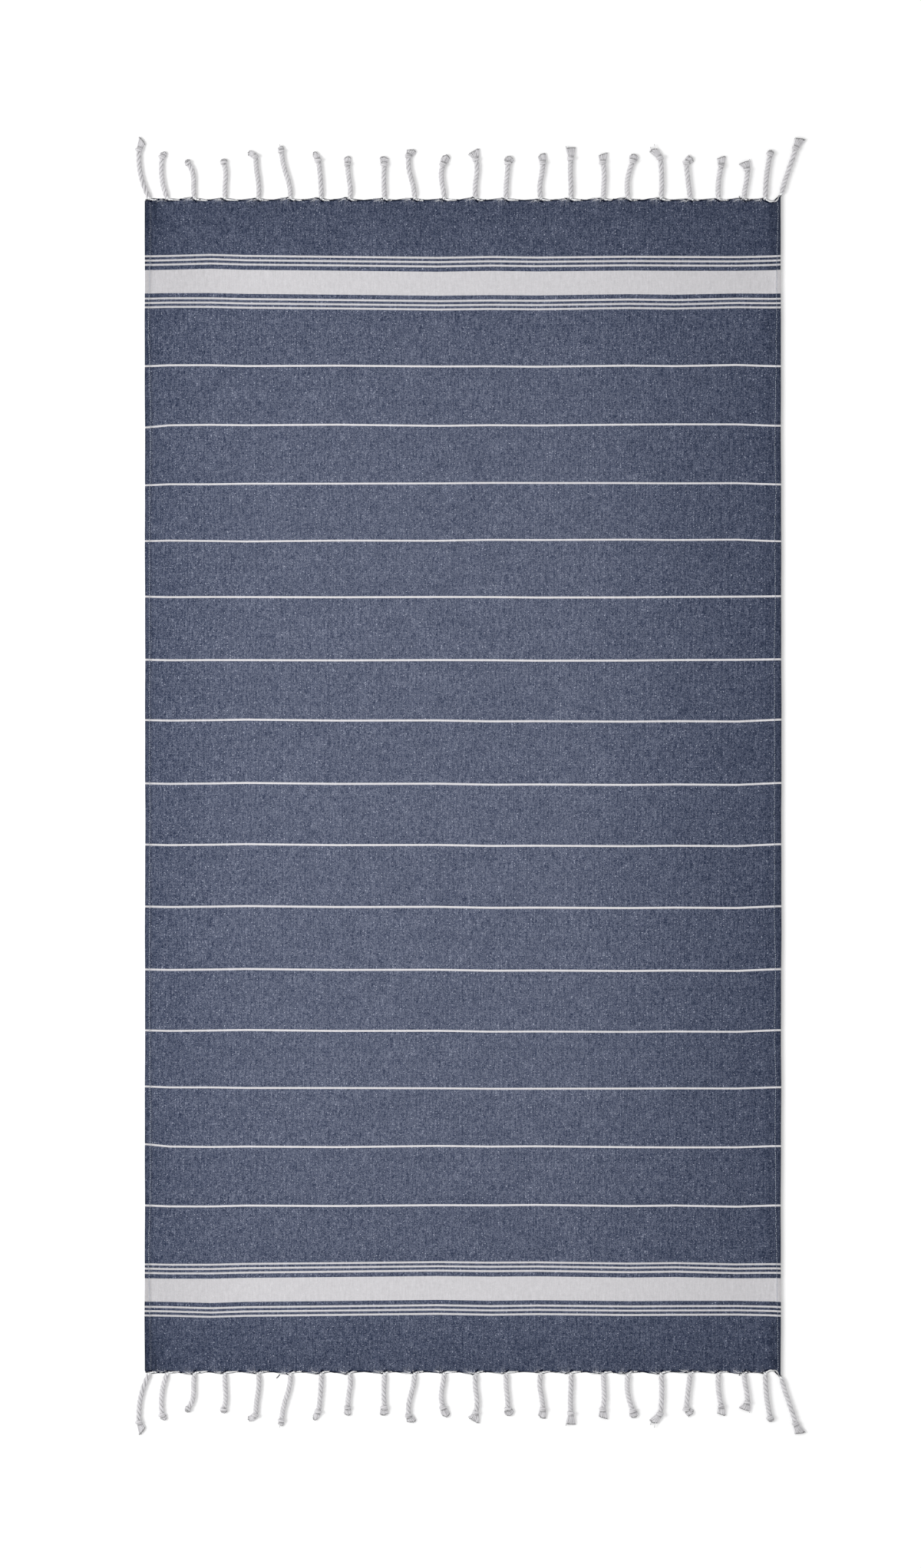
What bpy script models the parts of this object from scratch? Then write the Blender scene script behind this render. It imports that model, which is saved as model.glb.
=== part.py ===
"""A flat-woven hammam towel lying flat: one cloth with stitched side hems, and a row of twisted,
knotted fringe cords along each end.

Metres, +Z up.  The towel is 1.82 m long in Y and 0.985 m wide in X, and lies on z = 0.  Its origin
is on the floor under the middle of the whole piece, fringe included.
"""
import math

import bmesh
import bpy
import numpy as np

MM = 0.001

# The cloth.
WIDTH = 985 * MM
LENGTH = 1817 * MM              # without the fringe
CLOTH_THICK = 1.2 * MM
HEM_LEFT = 6.5 * MM             # from the side edge to the stitch line
HEM_RIGHT = 10.5 * MM
HEM_THICK = 2.4 * MM            # three layers of cloth
HEM_EDGE_THICK = 1.7 * MM       # where the fold rounds over at the side edge
HEM_STITCH_THICK = 1.5 * MM     # where the stitches pull the hem down
HEM_SHOULDER = 0.8 * MM         # width of the rounding at each side of the hem
UNEVEN = 0.12 * MM              # how far the lying cloth rises and falls
UNEVEN_X, UNEVEN_Y, UNEVEN_SLANT = 61 * MM, 83 * MM, 137 * MM    # over what lengths

# The ends of the cloth, between the cords and beside them.
END_DIP = 1.8 * MM              # how far the end lies back between two cords
HUMP_LEFT = 6 * MM              # the drawn-up cloth stands this far left of its cord
HUMP_SLOPE_LEFT = 26 * MM
HUMP_SLOPE_RIGHT = 11 * MM
CORNER_LIFT = 7 * MM            # the right hem is pulled outwards by the last cord
CORNER_WIDTH = 13 * MM

# The backing: the bare warp gathered along each end, which the cords grow out of.
GAP = 0.3 * MM                  # between the cloth's end and the backing
BACKING_THICK = 1.3 * MM
BACKING_NARROW = 1.2 * MM       # between two cords
BACKING_WIDE = 3.8 * MM         # at a cord's root
BACKING_ROOT = 9 * MM           # it narrows over this distance beside a root

# The cords: three plies laid together and tied in a knot, with the cut ends beyond it.
CORD_RADIUS = 4.2 * MM          # from the middle to a ply's crest
TWIST_PITCH = 19 * MM           # length of one whole turn of the lay
STEPS_PER_TURN = 10
ROOT_PLACES = (0, 4 * MM, 9 * MM)     # out from the root, where the cord reaches each swell below
ROOT_SWELLS = (0.3, 0.8, 1.0)         # radius as a share of CORD_RADIUS
ROOT_INSET = 0.9 * MM           # the root starts this far inside the backing
ROOT_LIFT = 0.25 * MM           # its underside is this high, and comes down to the floor
KNOT_SWELL = 1.3
NECK_SWELL = 0.9
KNOT_LENGTH = 9 * MM
KNOT_CREST = 3.6 * MM           # length of its thickest part
BRUSH_THICK = 7.5 * MM          # the cut ends lie flatter than they are wide

# One row for each cord, left to right, in millimetres.
#   root    place of the root across the towel, from the cloth's middle
#   lean    how far the knot stands right of the root
#   bow     how far the middle of the cord stands right of the straight line to the knot
#   sway    the same for an S-bend, right near the root and left near the knot
#   reach   from the cloth's end out to the knot
#   turn    how far the cut ends stand right of the knot
#   brush   from the knot out to the cut ends
#   spread  width across the cut ends
#   hump    how far the cloth's end is drawn up beside the root
CORD_COLUMNS = ("root", "lean", "bow", "sway", "reach", "turn", "brush", "spread", "hump")
CORDS_MM = (
    (-486.0, -16.0, -6.0, 0.0, 76.0, 3.5, 15.0, 11.0, 1.0),
    (-458.5, -8.0, -4.5, 0.0, 65.0, 3.5, 7.5, 9.0, 2.4),
    (-416.5, -9.5, 3.5, -1.5, 55.0, -2.0, 5.0, 8.0, 4.6),
    (-369.0, -2.0, 1.5, -1.0, 56.0, -0.5, 5.5, 10.0, 3.2),
    (-317.5, -4.0, 1.0, 1.0, 65.0, -8.0, 7.5, 9.0, 3.0),
    (-267.5, -14.0, 0.5, 1.5, 73.0, -1.0, 8.0, 8.0, 4.6),
    (-220.0, -4.5, 1.0, 0.0, 59.0, -5.5, 13.5, 9.0, 4.0),
    (-176.0, -3.0, 1.0, 1.0, 53.0, -0.5, 12.0, 10.0, 4.0),
    (-122.0, -0.5, -1.0, 0.0, 53.0, -0.5, 12.0, 13.0, 3.0),
    (-75.5, -9.5, -1.0, 1.5, 66.0, 5.5, 9.5, 13.0, 3.4),
    (-29.5, -2.0, -3.0, 1.0, 53.0, 3.0, 14.5, 12.0, 2.4),
    (19.5, 0.0, 0.0, -1.5, 61.0, -1.0, 13.0, 16.0, 4.2),
    (66.5, 2.5, -1.0, -0.5, 55.0, 2.5, 11.0, 14.0, 3.4),
    (120.0, 3.5, -2.5, -1.0, 55.5, -2.0, 14.0, 12.0, 1.4),
    (166.5, 0.0, -0.5, 0.5, 62.0, -1.0, 17.0, 14.0, 2.8),
    (216.5, -0.5, 1.5, -0.5, 56.0, 0.5, 13.5, 13.0, 3.6),
    (255.5, 7.0, -5.0, 0.0, 58.0, 2.0, 11.0, 13.0, 4.4),
    (306.0, -1.0, 1.5, 0.0, 63.0, -10.0, 13.5, 12.0, 4.0),
    (351.5, -6.5, -0.5, 0.0, 56.0, 4.5, 8.0, 12.0, 1.6),
    (395.0, 4.5, -2.5, 0.0, 51.0, 0.0, 13.5, 12.0, 2.8),
    (434.5, 5.5, 0.0, -0.5, 45.0, -3.5, 12.0, 17.0, 4.0),
    (467.5, 7.5, -2.0, 0.0, 69.0, 2.0, 5.5, 9.0, 2.4),
    (490.5, 24.0, -1.0, -0.5, 78.0, 6.0, 15.5, 15.5, 0.0),
)
CORDS = [{name: value * MM for name, value in zip(CORD_COLUMNS, row)} for row in CORDS_MM]

# Columns of points stand at these places beside each root, and rows at these along the cloth.
COLUMN_STEPS = [step * MM for step in (-19, -11, -5, 1, 6)]
COLUMN_SPACE = 3 * MM           # a root's column keeps this far from every other
ROW_HEIGHTS = [share * LENGTH / 2 for share in (-1, -0.97, -0.6, 0, 0.6, 0.97, 1)]


# ---------------------------------------------------------------- scene, materials
def clear_scene():
    for obj in list(bpy.data.objects):
        bpy.data.objects.remove(obj, do_unlink=True)


def new_collection(name):
    collection = bpy.data.collections.new(name)
    bpy.context.scene.collection.children.link(collection)
    return collection


def plain_material(name, colour, roughness):
    material = bpy.data.materials.new(name)
    material.use_nodes = True
    shader = material.node_tree.nodes["Principled BSDF"]
    shader.inputs["Base Color"].default_value = (*colour, 1)
    shader.inputs["Roughness"].default_value = roughness
    shader.inputs["Metallic"].default_value = 0
    return material


def add_object(name, mesh, collection, material=None):
    obj = bpy.data.objects.new(name, mesh)
    collection.objects.link(obj)
    if material:
        mesh.materials.append(material)
    return obj


# ---------------------------------------------------------------- shape of the cloth's ends
def raised_cosine(distance, width):
    """1 at no distance, falling smoothly to 0 at the width."""
    near = np.clip(np.abs(distance) / width, 0, 1)
    return 0.5 * (1 + np.cos(math.pi * near))


def end_offset(x):
    """How far the cloth's end stands out from its mean line, at places x across it."""
    x = np.asarray(x, dtype=float)
    out = np.full_like(x, -END_DIP)
    for cord in CORDS:
        distance = x - (cord["root"] - HUMP_LEFT)
        slope = np.where(distance < 0, HUMP_SLOPE_LEFT, HUMP_SLOPE_RIGHT)
        out += cord["hump"] * raised_cosine(distance, slope)
    return out + CORNER_LIFT * raised_cosine(WIDTH / 2 - x, CORNER_WIDTH)


def columns():
    """Places across the cloth: its sides, the roundings and stitch lines of the hems, the roots."""
    places = [-WIDTH / 2, WIDTH / 2]
    for step in (HEM_SHOULDER, HEM_LEFT - HEM_SHOULDER, HEM_LEFT, HEM_LEFT + HEM_SHOULDER):
        places.append(-WIDTH / 2 + step)
    for step in (HEM_SHOULDER, HEM_RIGHT - HEM_SHOULDER, HEM_RIGHT, HEM_RIGHT + HEM_SHOULDER):
        places.append(WIDTH / 2 - step)
    for cord in CORDS:
        for step in COLUMN_STEPS:
            place = cord["root"] + step
            if abs(place) < WIDTH / 2 and min(abs(place - other) for other in places) > COLUMN_SPACE:
                places.append(place)
    return np.array(sorted(places))


# ---------------------------------------------------------------- flat pieces
def grid_object(name, xs, rows, collection, material):
    """A flat grid at z = 0; rows holds, for each row of points, the y of each of its points."""
    bm = bmesh.new()
    bmesh.ops.create_grid(bm, x_segments=len(xs) - 1, y_segments=len(rows) - 1, size=0.5)
    for vert in bm.verts:
        column = round((vert.co.x + 0.5) * (len(xs) - 1))
        row = round((vert.co.y + 0.5) * (len(rows) - 1))
        vert.co = (xs[column], rows[row][column], 0)
    mesh = bpy.data.meshes.new(name)
    bm.to_mesh(mesh)
    bm.free()
    return add_object(name, mesh, collection, material)


def thicken(obj, thickness, share=None):
    """Solid above the grid; share gives each point's part of the whole thickness."""
    solidify = obj.modifiers.new("thickness", "SOLIDIFY")
    solidify.thickness = thickness
    solidify.offset = 1
    if share is None:
        return
    group = obj.vertex_groups.new(name="share")
    for index, weight in enumerate(share):
        group.add([index], float(weight), "REPLACE")
    solidify.vertex_group = group.name
    solidify.thickness_vertex_group = 0


def cloth_thickness(x, y):
    """Plain cloth with a slight rise and fall, and a thicker folded hem down each side."""
    wave = math.sin(x / UNEVEN_X) * math.sin(y / UNEVEN_Y) + math.sin((x - y) / UNEVEN_SLANT)
    plain = CLOTH_THICK + UNEVEN * wave / 2
    for distance, hem in ((WIDTH / 2 + x, HEM_LEFT), (WIDTH / 2 - x, HEM_RIGHT)):
        if distance < hem + HEM_SHOULDER / 2:
            steps = (0, HEM_SHOULDER, hem - HEM_SHOULDER, hem)
            heights = (HEM_EDGE_THICK, HEM_THICK, HEM_THICK, HEM_STITCH_THICK)
            return float(np.interp(distance, steps, heights))
    return plain


def make_cloth(collection, material):
    xs = columns()
    drawn = end_offset(xs)
    rows = []
    for height in ROW_HEIGHTS:
        at_end = math.copysign(1, height) if abs(height) == LENGTH / 2 else 0
        rows.append(height + at_end * drawn)
    cloth = grid_object("cloth", xs, rows, collection, material)
    share = [cloth_thickness(vert.co.x, vert.co.y) / HEM_THICK for vert in cloth.data.vertices]
    thicken(cloth, HEM_THICK, share)
    return cloth


def make_backing(name, end, collection, material):
    """The gathered warp along one end, wider where a cord grows out of it."""
    xs = columns()[1:]
    width = np.full_like(xs, BACKING_NARROW)
    for cord in CORDS:
        at_root = raised_cosine(xs - cord["root"], BACKING_ROOT)
        width = np.maximum(width, BACKING_NARROW + (BACKING_WIDE - BACKING_NARROW) * at_root)
    inner = LENGTH / 2 + end_offset(xs) + GAP
    rows = [end * inner, end * (inner + width)]
    backing = grid_object(name, xs, rows if end > 0 else rows[::-1], collection, material)
    thicken(backing, BACKING_THICK)
    return backing


# ---------------------------------------------------------------- cords
def neck_place(cord):
    """Distance out at which the knot ends and the cut ends begin."""
    return cord["reach"] + min(KNOT_LENGTH, cord["brush"]) / 2


def cord_stations(cord):
    """Distances out from the cloth's mean end: along the lay, round the knot, and to the cut ends."""
    start = float(end_offset(cord["root"])) + GAP + ROOT_INSET
    knot_start = cord["reach"] - KNOT_LENGTH / 2
    step = TWIST_PITCH / STEPS_PER_TURN
    lay = np.linspace(start, knot_start, max(2, round((knot_start - start) / step)))
    knot = cord["reach"] + KNOT_CREST * np.array((-0.5, 0.5))
    neck = neck_place(cord)
    tip = cord["reach"] + cord["brush"]
    return np.concatenate((lay, knot, (neck, (neck + tip) / 2, tip))), len(lay)


def cord_line(cord, out):
    """Place across the towel at each distance out: a leaning, bowed and swaying line, then the turn."""
    along = np.clip(out / cord["reach"], 0, 1)
    x = cord["root"] + cord["lean"] * along
    x += cord["bow"] * 4 * along * (1 - along)
    x += cord["sway"] * np.sin(2 * math.pi * along)
    beyond = np.clip((out - cord["reach"]) / cord["brush"], 0, 1)
    return x + cord["turn"] * beyond


def cord_swell(cord, out, lay_count):
    """Radius as a share of the cord's: thin at the root, thick at the knot, spread at the cut ends."""
    swell = np.interp(out - out[0], ROOT_PLACES, ROOT_SWELLS)
    brush_swell = cord["spread"] / (math.sqrt(3) * CORD_RADIUS)
    swell[lay_count:] = (KNOT_SWELL, KNOT_SWELL, NECK_SWELL, (NECK_SWELL + brush_swell) / 2, brush_swell)
    return swell


def ply_profile(collection):
    """The section of a cord: a triangle, one corner for the crest of each ply, a flat side down."""
    profile = bpy.data.curves.new("ply_profile", "CURVE")
    spline = profile.splines.new("POLY")
    spline.points.add(2)
    spline.use_cyclic_u = True
    for point, degrees in zip(spline.points, (90, 210, 330)):
        angle = math.radians(degrees)
        point.co = (CORD_RADIUS * math.cos(angle), CORD_RADIUS * math.sin(angle), 0, 1)
    obj = add_object("ply_profile", profile, collection)
    obj.hide_render = True
    obj.display_type = "WIRE"
    return obj


def add_cord(curve, cord, end):
    """One spline of the curve: its points carry the place, the swell and the twist."""
    out, lay_count = cord_stations(cord)
    swell = cord_swell(cord, out, lay_count)
    x = cord_line(cord, out)
    z = CORD_RADIUS * swell + np.interp(out - out[0], (0, ROOT_PLACES[-1]), (ROOT_LIFT, 0))
    z[lay_count:] /= 2          # past the lay a flat side is down, half a radius below the middle
    turns = np.clip((out[lay_count - 1] - out) / TWIST_PITCH, 0, None)
    spline = curve.splines.new("POLY")
    spline.points.add(len(out) - 1)
    for point, px, distance, pz, radius, turn in zip(spline.points, x, out, z, swell, turns):
        point.co = (px, end * (LENGTH / 2 + distance), pz, 1)
        point.radius = radius
        point.tilt = -end * 2 * math.pi * turn


def cords_mesh(end, profile, collection):
    """All the cords of one end as a mesh, their caps welded and the cut ends pressed down."""
    curve = bpy.data.curves.new("cords", "CURVE")
    curve.dimensions = "3D"
    curve.twist_mode = "Z_UP"
    curve.bevel_mode = "OBJECT"
    curve.bevel_object = profile
    curve.use_fill_caps = True
    for cord in CORDS:
        add_cord(curve, cord, end)
    curve_object = add_object("cords", curve, collection)
    evaluated = curve_object.evaluated_get(bpy.context.evaluated_depsgraph_get())
    mesh = bpy.data.meshes.new_from_object(evaluated)
    bpy.data.objects.remove(curve_object)
    bm = bmesh.new()
    bm.from_mesh(mesh)
    bmesh.ops.remove_doubles(bm, verts=bm.verts, dist=0.01 * MM)
    bmesh.ops.recalc_face_normals(bm, faces=bm.faces)
    bmesh.ops.triangulate(bm, faces=bm.faces, quad_method="SHORT_EDGE")
    for vert in bm.verts:
        press_down(vert.co, end)
    bm.to_mesh(mesh)
    bm.free()
    mesh.shade_smooth()
    mesh.set_sharp_from_angle(angle=math.radians(35))
    return mesh


def press_down(place, end):
    """Scales the height of a point of the cut ends, more towards the tip, so that they lie flat."""
    out = end * place.y - LENGTH / 2
    cord = min(CORDS, key=lambda row: abs(place.x - float(cord_line(row, out))))
    neck, tip = neck_place(cord), cord["reach"] + cord["brush"]
    share = min(max((out - neck) / (tip - neck), 0), 1)
    full = cord["spread"] * math.sqrt(3) / 2
    place.z *= 1 + share * (min(1, BRUSH_THICK / full) - 1)


def make_fringe(name, end, profile, parts, cutters, material):
    """A backing with its cords joined on; end is +1 at the top and -1 at the bottom."""
    fringe = make_backing(name, end, parts, material)
    cords = add_object(name + "_cords", cords_mesh(end, profile, cutters), cutters)
    cords.hide_render = True
    cords.display_type = "WIRE"
    union = fringe.modifiers.new("cords", "BOOLEAN")
    union.operation = "UNION"
    union.solver = "EXACT"
    union.object = cords
    return fringe, cords


# ---------------------------------------------------------------- whole towel
def centre_on_origin(measured, moved):
    """Moves every piece so that the whole towel's box is centred on x = 0."""
    bpy.context.view_layer.update()
    depsgraph = bpy.context.evaluated_depsgraph_get()
    xs = []
    for obj in measured:
        corners = obj.evaluated_get(depsgraph).bound_box
        xs.extend(corner[0] for corner in corners)
    shift = -(min(xs) + max(xs)) / 2
    for obj in moved:
        obj.location.x = shift


def main():
    clear_scene()
    parts = new_collection("hammam_towel")
    cutters = new_collection("cutters")
    chambray = plain_material("chambray", (0.113, 0.131, 0.186), 0.9)
    cotton = plain_material("cotton", (0.60, 0.59, 0.61), 0.85)
    profile = ply_profile(cutters)
    cloth = make_cloth(parts, chambray)
    top, top_cords = make_fringe("fringe_top", 1, profile, parts, cutters, cotton)
    bottom, bottom_cords = make_fringe("fringe_bottom", -1, profile, parts, cutters, cotton)
    centre_on_origin((cloth, top, bottom), (cloth, top, top_cords, bottom, bottom_cords))


main()
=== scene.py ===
# %% [markdown]
# # A hammam towel, laid out flat
#
# The real towel is one length of flat-woven cotton: a white warp, which runs along its length, and a
# dark blue weft beaten over it, with a few white picks thrown in for each band. The loom leaves bare
# warp at both ends. A finisher gathers that warp in bunches, twists each bunch in three plies, lays
# the plies together into a cord, and ties the cord off in a knot with a short brush of cut yarn.
#
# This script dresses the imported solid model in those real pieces: a thin cloth with turned hems,
# rows of stitches, laid cords, knots, brushes, and the gathered warp along each end.
# Every length is in metres, +Y runs along the towel, and it lies on z = 0.

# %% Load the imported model
import math

import bpy
import numpy as np
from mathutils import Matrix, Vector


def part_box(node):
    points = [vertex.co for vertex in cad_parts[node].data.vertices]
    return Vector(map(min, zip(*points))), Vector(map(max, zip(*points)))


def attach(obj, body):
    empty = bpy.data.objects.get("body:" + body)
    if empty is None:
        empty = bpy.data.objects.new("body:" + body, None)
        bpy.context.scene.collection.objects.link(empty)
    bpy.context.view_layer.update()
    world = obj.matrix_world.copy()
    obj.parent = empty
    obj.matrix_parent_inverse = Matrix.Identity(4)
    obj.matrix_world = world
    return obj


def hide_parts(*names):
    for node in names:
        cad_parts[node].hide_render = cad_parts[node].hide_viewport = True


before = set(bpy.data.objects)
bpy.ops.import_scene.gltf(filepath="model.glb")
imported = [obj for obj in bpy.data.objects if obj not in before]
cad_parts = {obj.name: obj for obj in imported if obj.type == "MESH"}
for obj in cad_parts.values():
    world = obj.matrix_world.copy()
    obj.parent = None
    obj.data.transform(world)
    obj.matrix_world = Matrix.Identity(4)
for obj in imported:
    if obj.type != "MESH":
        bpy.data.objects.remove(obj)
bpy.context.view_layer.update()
MM = 0.001
cloth_low, cloth_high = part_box("cloth")
CLOTH_MIDDLE = (cloth_low.x + cloth_high.x) / 2

# %% [markdown]
# ## Camera
#
# The towel was laid flat and photographed from straight above. A short lens close by would make the
# 8 mm high cords lean outwards near the picture's edges, so the camera stands far off with a long
# lens. Its height follows from the picture: a known length on the cloth gives the millimetres that
# one pixel covers, and the lens gives the distance at which the whole frame is that big.

# %% Camera
PICTURE_HEIGHT = 2042                   # pixels
PIXEL = 1.1889 * MM                     # how much of the floor one pixel covers
AIM_X, AIM_Y = -15.0 * MM, 3.0 * MM     # the point under the middle of the picture
LENS, SENSOR = 120.0, 36.0              # millimetres


def add_object(name, data):
    """A new object in the scene, at the origin."""
    thing = bpy.data.objects.new(name, data)
    bpy.context.scene.collection.objects.link(thing)
    return thing


camera_data = bpy.data.cameras.new("camera")
camera_data.lens = LENS
camera_data.sensor_width = SENSOR
camera_data.clip_end = 200
camera = add_object("camera", camera_data)
camera.location = (AIM_X, AIM_Y, PICTURE_HEIGHT * PIXEL / 2 / (SENSOR / 2 / LENS))
bpy.context.scene.camera = camera
print("camera height", round(camera.location.z, 2), "m")

# %% [markdown]
# ## Helpers for meshes
#
# Every surface here is worked out as whole numpy arrays. A shape is three things: its points, its
# faces, and the place of each corner on its map. One helper puts a shape into a mesh, one makes the
# faces of a grid of points, and one carries a round section along many paths at once. The last makes
# every yarn, ply and stitch.

# %% Put a shape into a mesh
def add_piece(name, shape, material, values=None):
    """A smooth-shaded object at the origin. The faces are a list of arrays, one for each number of
    corners; the map has its corners in the same order; values are numbers that each point carries."""
    points, faces, corner_map = shape
    corners = np.concatenate([group.ravel() for group in faces])
    sizes = np.concatenate([np.full(len(group), group.shape[1]) for group in faces])
    mesh = bpy.data.meshes.new(name)
    mesh.vertices.add(len(points))
    mesh.vertices.foreach_set("co", points.astype(np.float32).ravel())
    mesh.loops.add(len(corners))
    mesh.loops.foreach_set("vertex_index", corners.astype(np.int32))
    mesh.polygons.add(len(sizes))
    starts = np.concatenate(([0], np.cumsum(sizes)[:-1]))
    mesh.polygons.foreach_set("loop_start", starts.astype(np.int32))
    mesh.update(calc_edges=True)
    layer = mesh.uv_layers.new(name="cut")
    layer.uv.foreach_set("vector", corner_map.astype(np.float32).ravel())
    for key, numbers in (values or {}).items():
        attribute = mesh.attributes.new(key, "FLOAT", "POINT")
        attribute.data.foreach_set("value", numbers.astype(np.float32).ravel())
    mesh.materials.append(material)
    mesh.shade_smooth()
    return add_object(name, mesh)


def grid_faces(rows, columns):
    """The quads of a grid of points stored row by row, facing up where rows run along +Y."""
    first = (np.arange(rows - 1)[:, None] * columns + np.arange(columns - 1)).reshape(-1, 1)
    return first + np.array((0, 1, columns + 1, columns))


# %% Carry a round section along many paths
def unit(vectors):
    """The same directions, with a length of 1."""
    return vectors / np.linalg.norm(vectors, axis=-1, keepdims=True)


def along_paths(paths):
    """Unit tangents of paths, whose last axes are (station, 3), and the distance run at each station."""
    steps = np.linalg.norm(np.diff(paths, axis=-2), axis=-1)
    run = np.concatenate((np.zeros_like(steps[..., :1]), np.cumsum(steps, axis=-1)), axis=-1)
    return unit(np.gradient(paths, axis=-2)), run


def cross_axes(tangent, upright=(0, 0, 1)):
    """Two unit axes across each tangent: one level, to its right, and one as near upright as it goes."""
    side = unit(np.cross(tangent, np.broadcast_to(upright, tangent.shape)))
    return side, np.cross(side, tangent)


def rods(paths, radii, sides, chance=None, upright=(0, 0, 1), flat=1.0):
    """point = path + radius * (cos(angle) * side + flat * sin(angle) * top), for every path, station
    and angle at once, with both ends closed. Gives the shape, and a random tone for each rod."""
    stations = paths.shape[-2]
    radii = np.broadcast_to(radii, paths.shape[:-1]).reshape(-1, stations)
    paths = paths.reshape(-1, stations, 3)
    count = len(paths)
    tangent, run = along_paths(paths)
    side, top = cross_axes(tangent, upright)
    angle = np.linspace(0, 2 * math.pi, sides, endpoint=False)[:, None]
    ring = np.cos(angle) * side[:, :, None] + flat * np.sin(angle) * top[:, :, None]
    points = paths[:, :, None] + radii[:, :, None, None] * ring

    number = np.arange(count * stations * sides).reshape(count, stations, sides)
    after = np.roll(number, -1, axis=2)
    quads = np.stack((number[:, :-1], number[:, 1:], after[:, 1:], after[:, :-1]), axis=3)
    caps = np.concatenate((number[:, 0], number[:, -1, ::-1]))

    here, there = np.arange(sides) / sides, (np.arange(sides) + 1) / sides
    near, far = run[:, :-1, None], run[:, 1:, None]
    corners = ((here, near), (here, far), (there, far), (there, near))
    side_map = np.stack([np.stack(np.broadcast_arrays(*corner), 3) for corner in corners], 3)
    cap_run = np.repeat(np.concatenate((np.zeros(count), run[:, -1])), sides)
    cap_map = np.stack((np.full(len(cap_run), 0.5), cap_run), 1)
    corner_map = np.concatenate((side_map.reshape(-1, 2), cap_map))
    tone = np.full(count, 0.5) if chance is None else chance.random(count)
    values = {"tone": np.repeat(tone, stations * sides)}
    return (points.reshape(-1, 3), [quads.reshape(-1, 4), caps], corner_map), values


def mirrored(points, faces, corner_map):
    """The same shape at the other end of the towel: Y reversed, and each face wound the other way."""
    turned, start = [], 0
    for group in faces:
        corners = corner_map[start:start + group.size].reshape(*group.shape, 2)
        turned.append(corners[:, ::-1].reshape(-1, 2))
        start += group.size
    return points * (1, -1, 1), [group[:, ::-1] for group in faces], np.concatenate(turned)


# %% [markdown]
# ## Measures that the solid model already has
#
# The cords' places and the drawn-up ends of the cloth are the same numbers and formulas as in the
# part's source, so that each dressed piece lies where its solid does. Only the humps beside the cords
# are a fifth lower, by less than a millimetre, because the thin cloth is drawn up less than the solid,
# and a dip beside each right corner is 3 mm deeper.

# %% Cloth and cord measures
WIDTH, LENGTH = 985 * MM, 1817 * MM
HALF_WIDTH, HALF_LENGTH = WIDTH / 2, LENGTH / 2
HEM_LEFT, HEM_RIGHT = 6.5 * MM, 10.5 * MM         # side edge to stitch line
END_DIP = 1.8 * MM                                # the end lies back between two cords
HUMP_LEFT, HUMP_SLOPE_LEFT, HUMP_SLOPE_RIGHT = 6 * MM, 26 * MM, 11 * MM
HUMP_SHARE = 0.8
CORNER_LIFT, CORNER_WIDTH = 7 * MM, 13 * MM
CORNER_DIP, DIP_AT, DIP_WIDTH = 3.2 * MM, 16.6 * MM, 9.5 * MM      # just inside the right corners
CORD_RADIUS = 4.0 * MM
KNOT_LENGTH = 9 * MM

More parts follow.
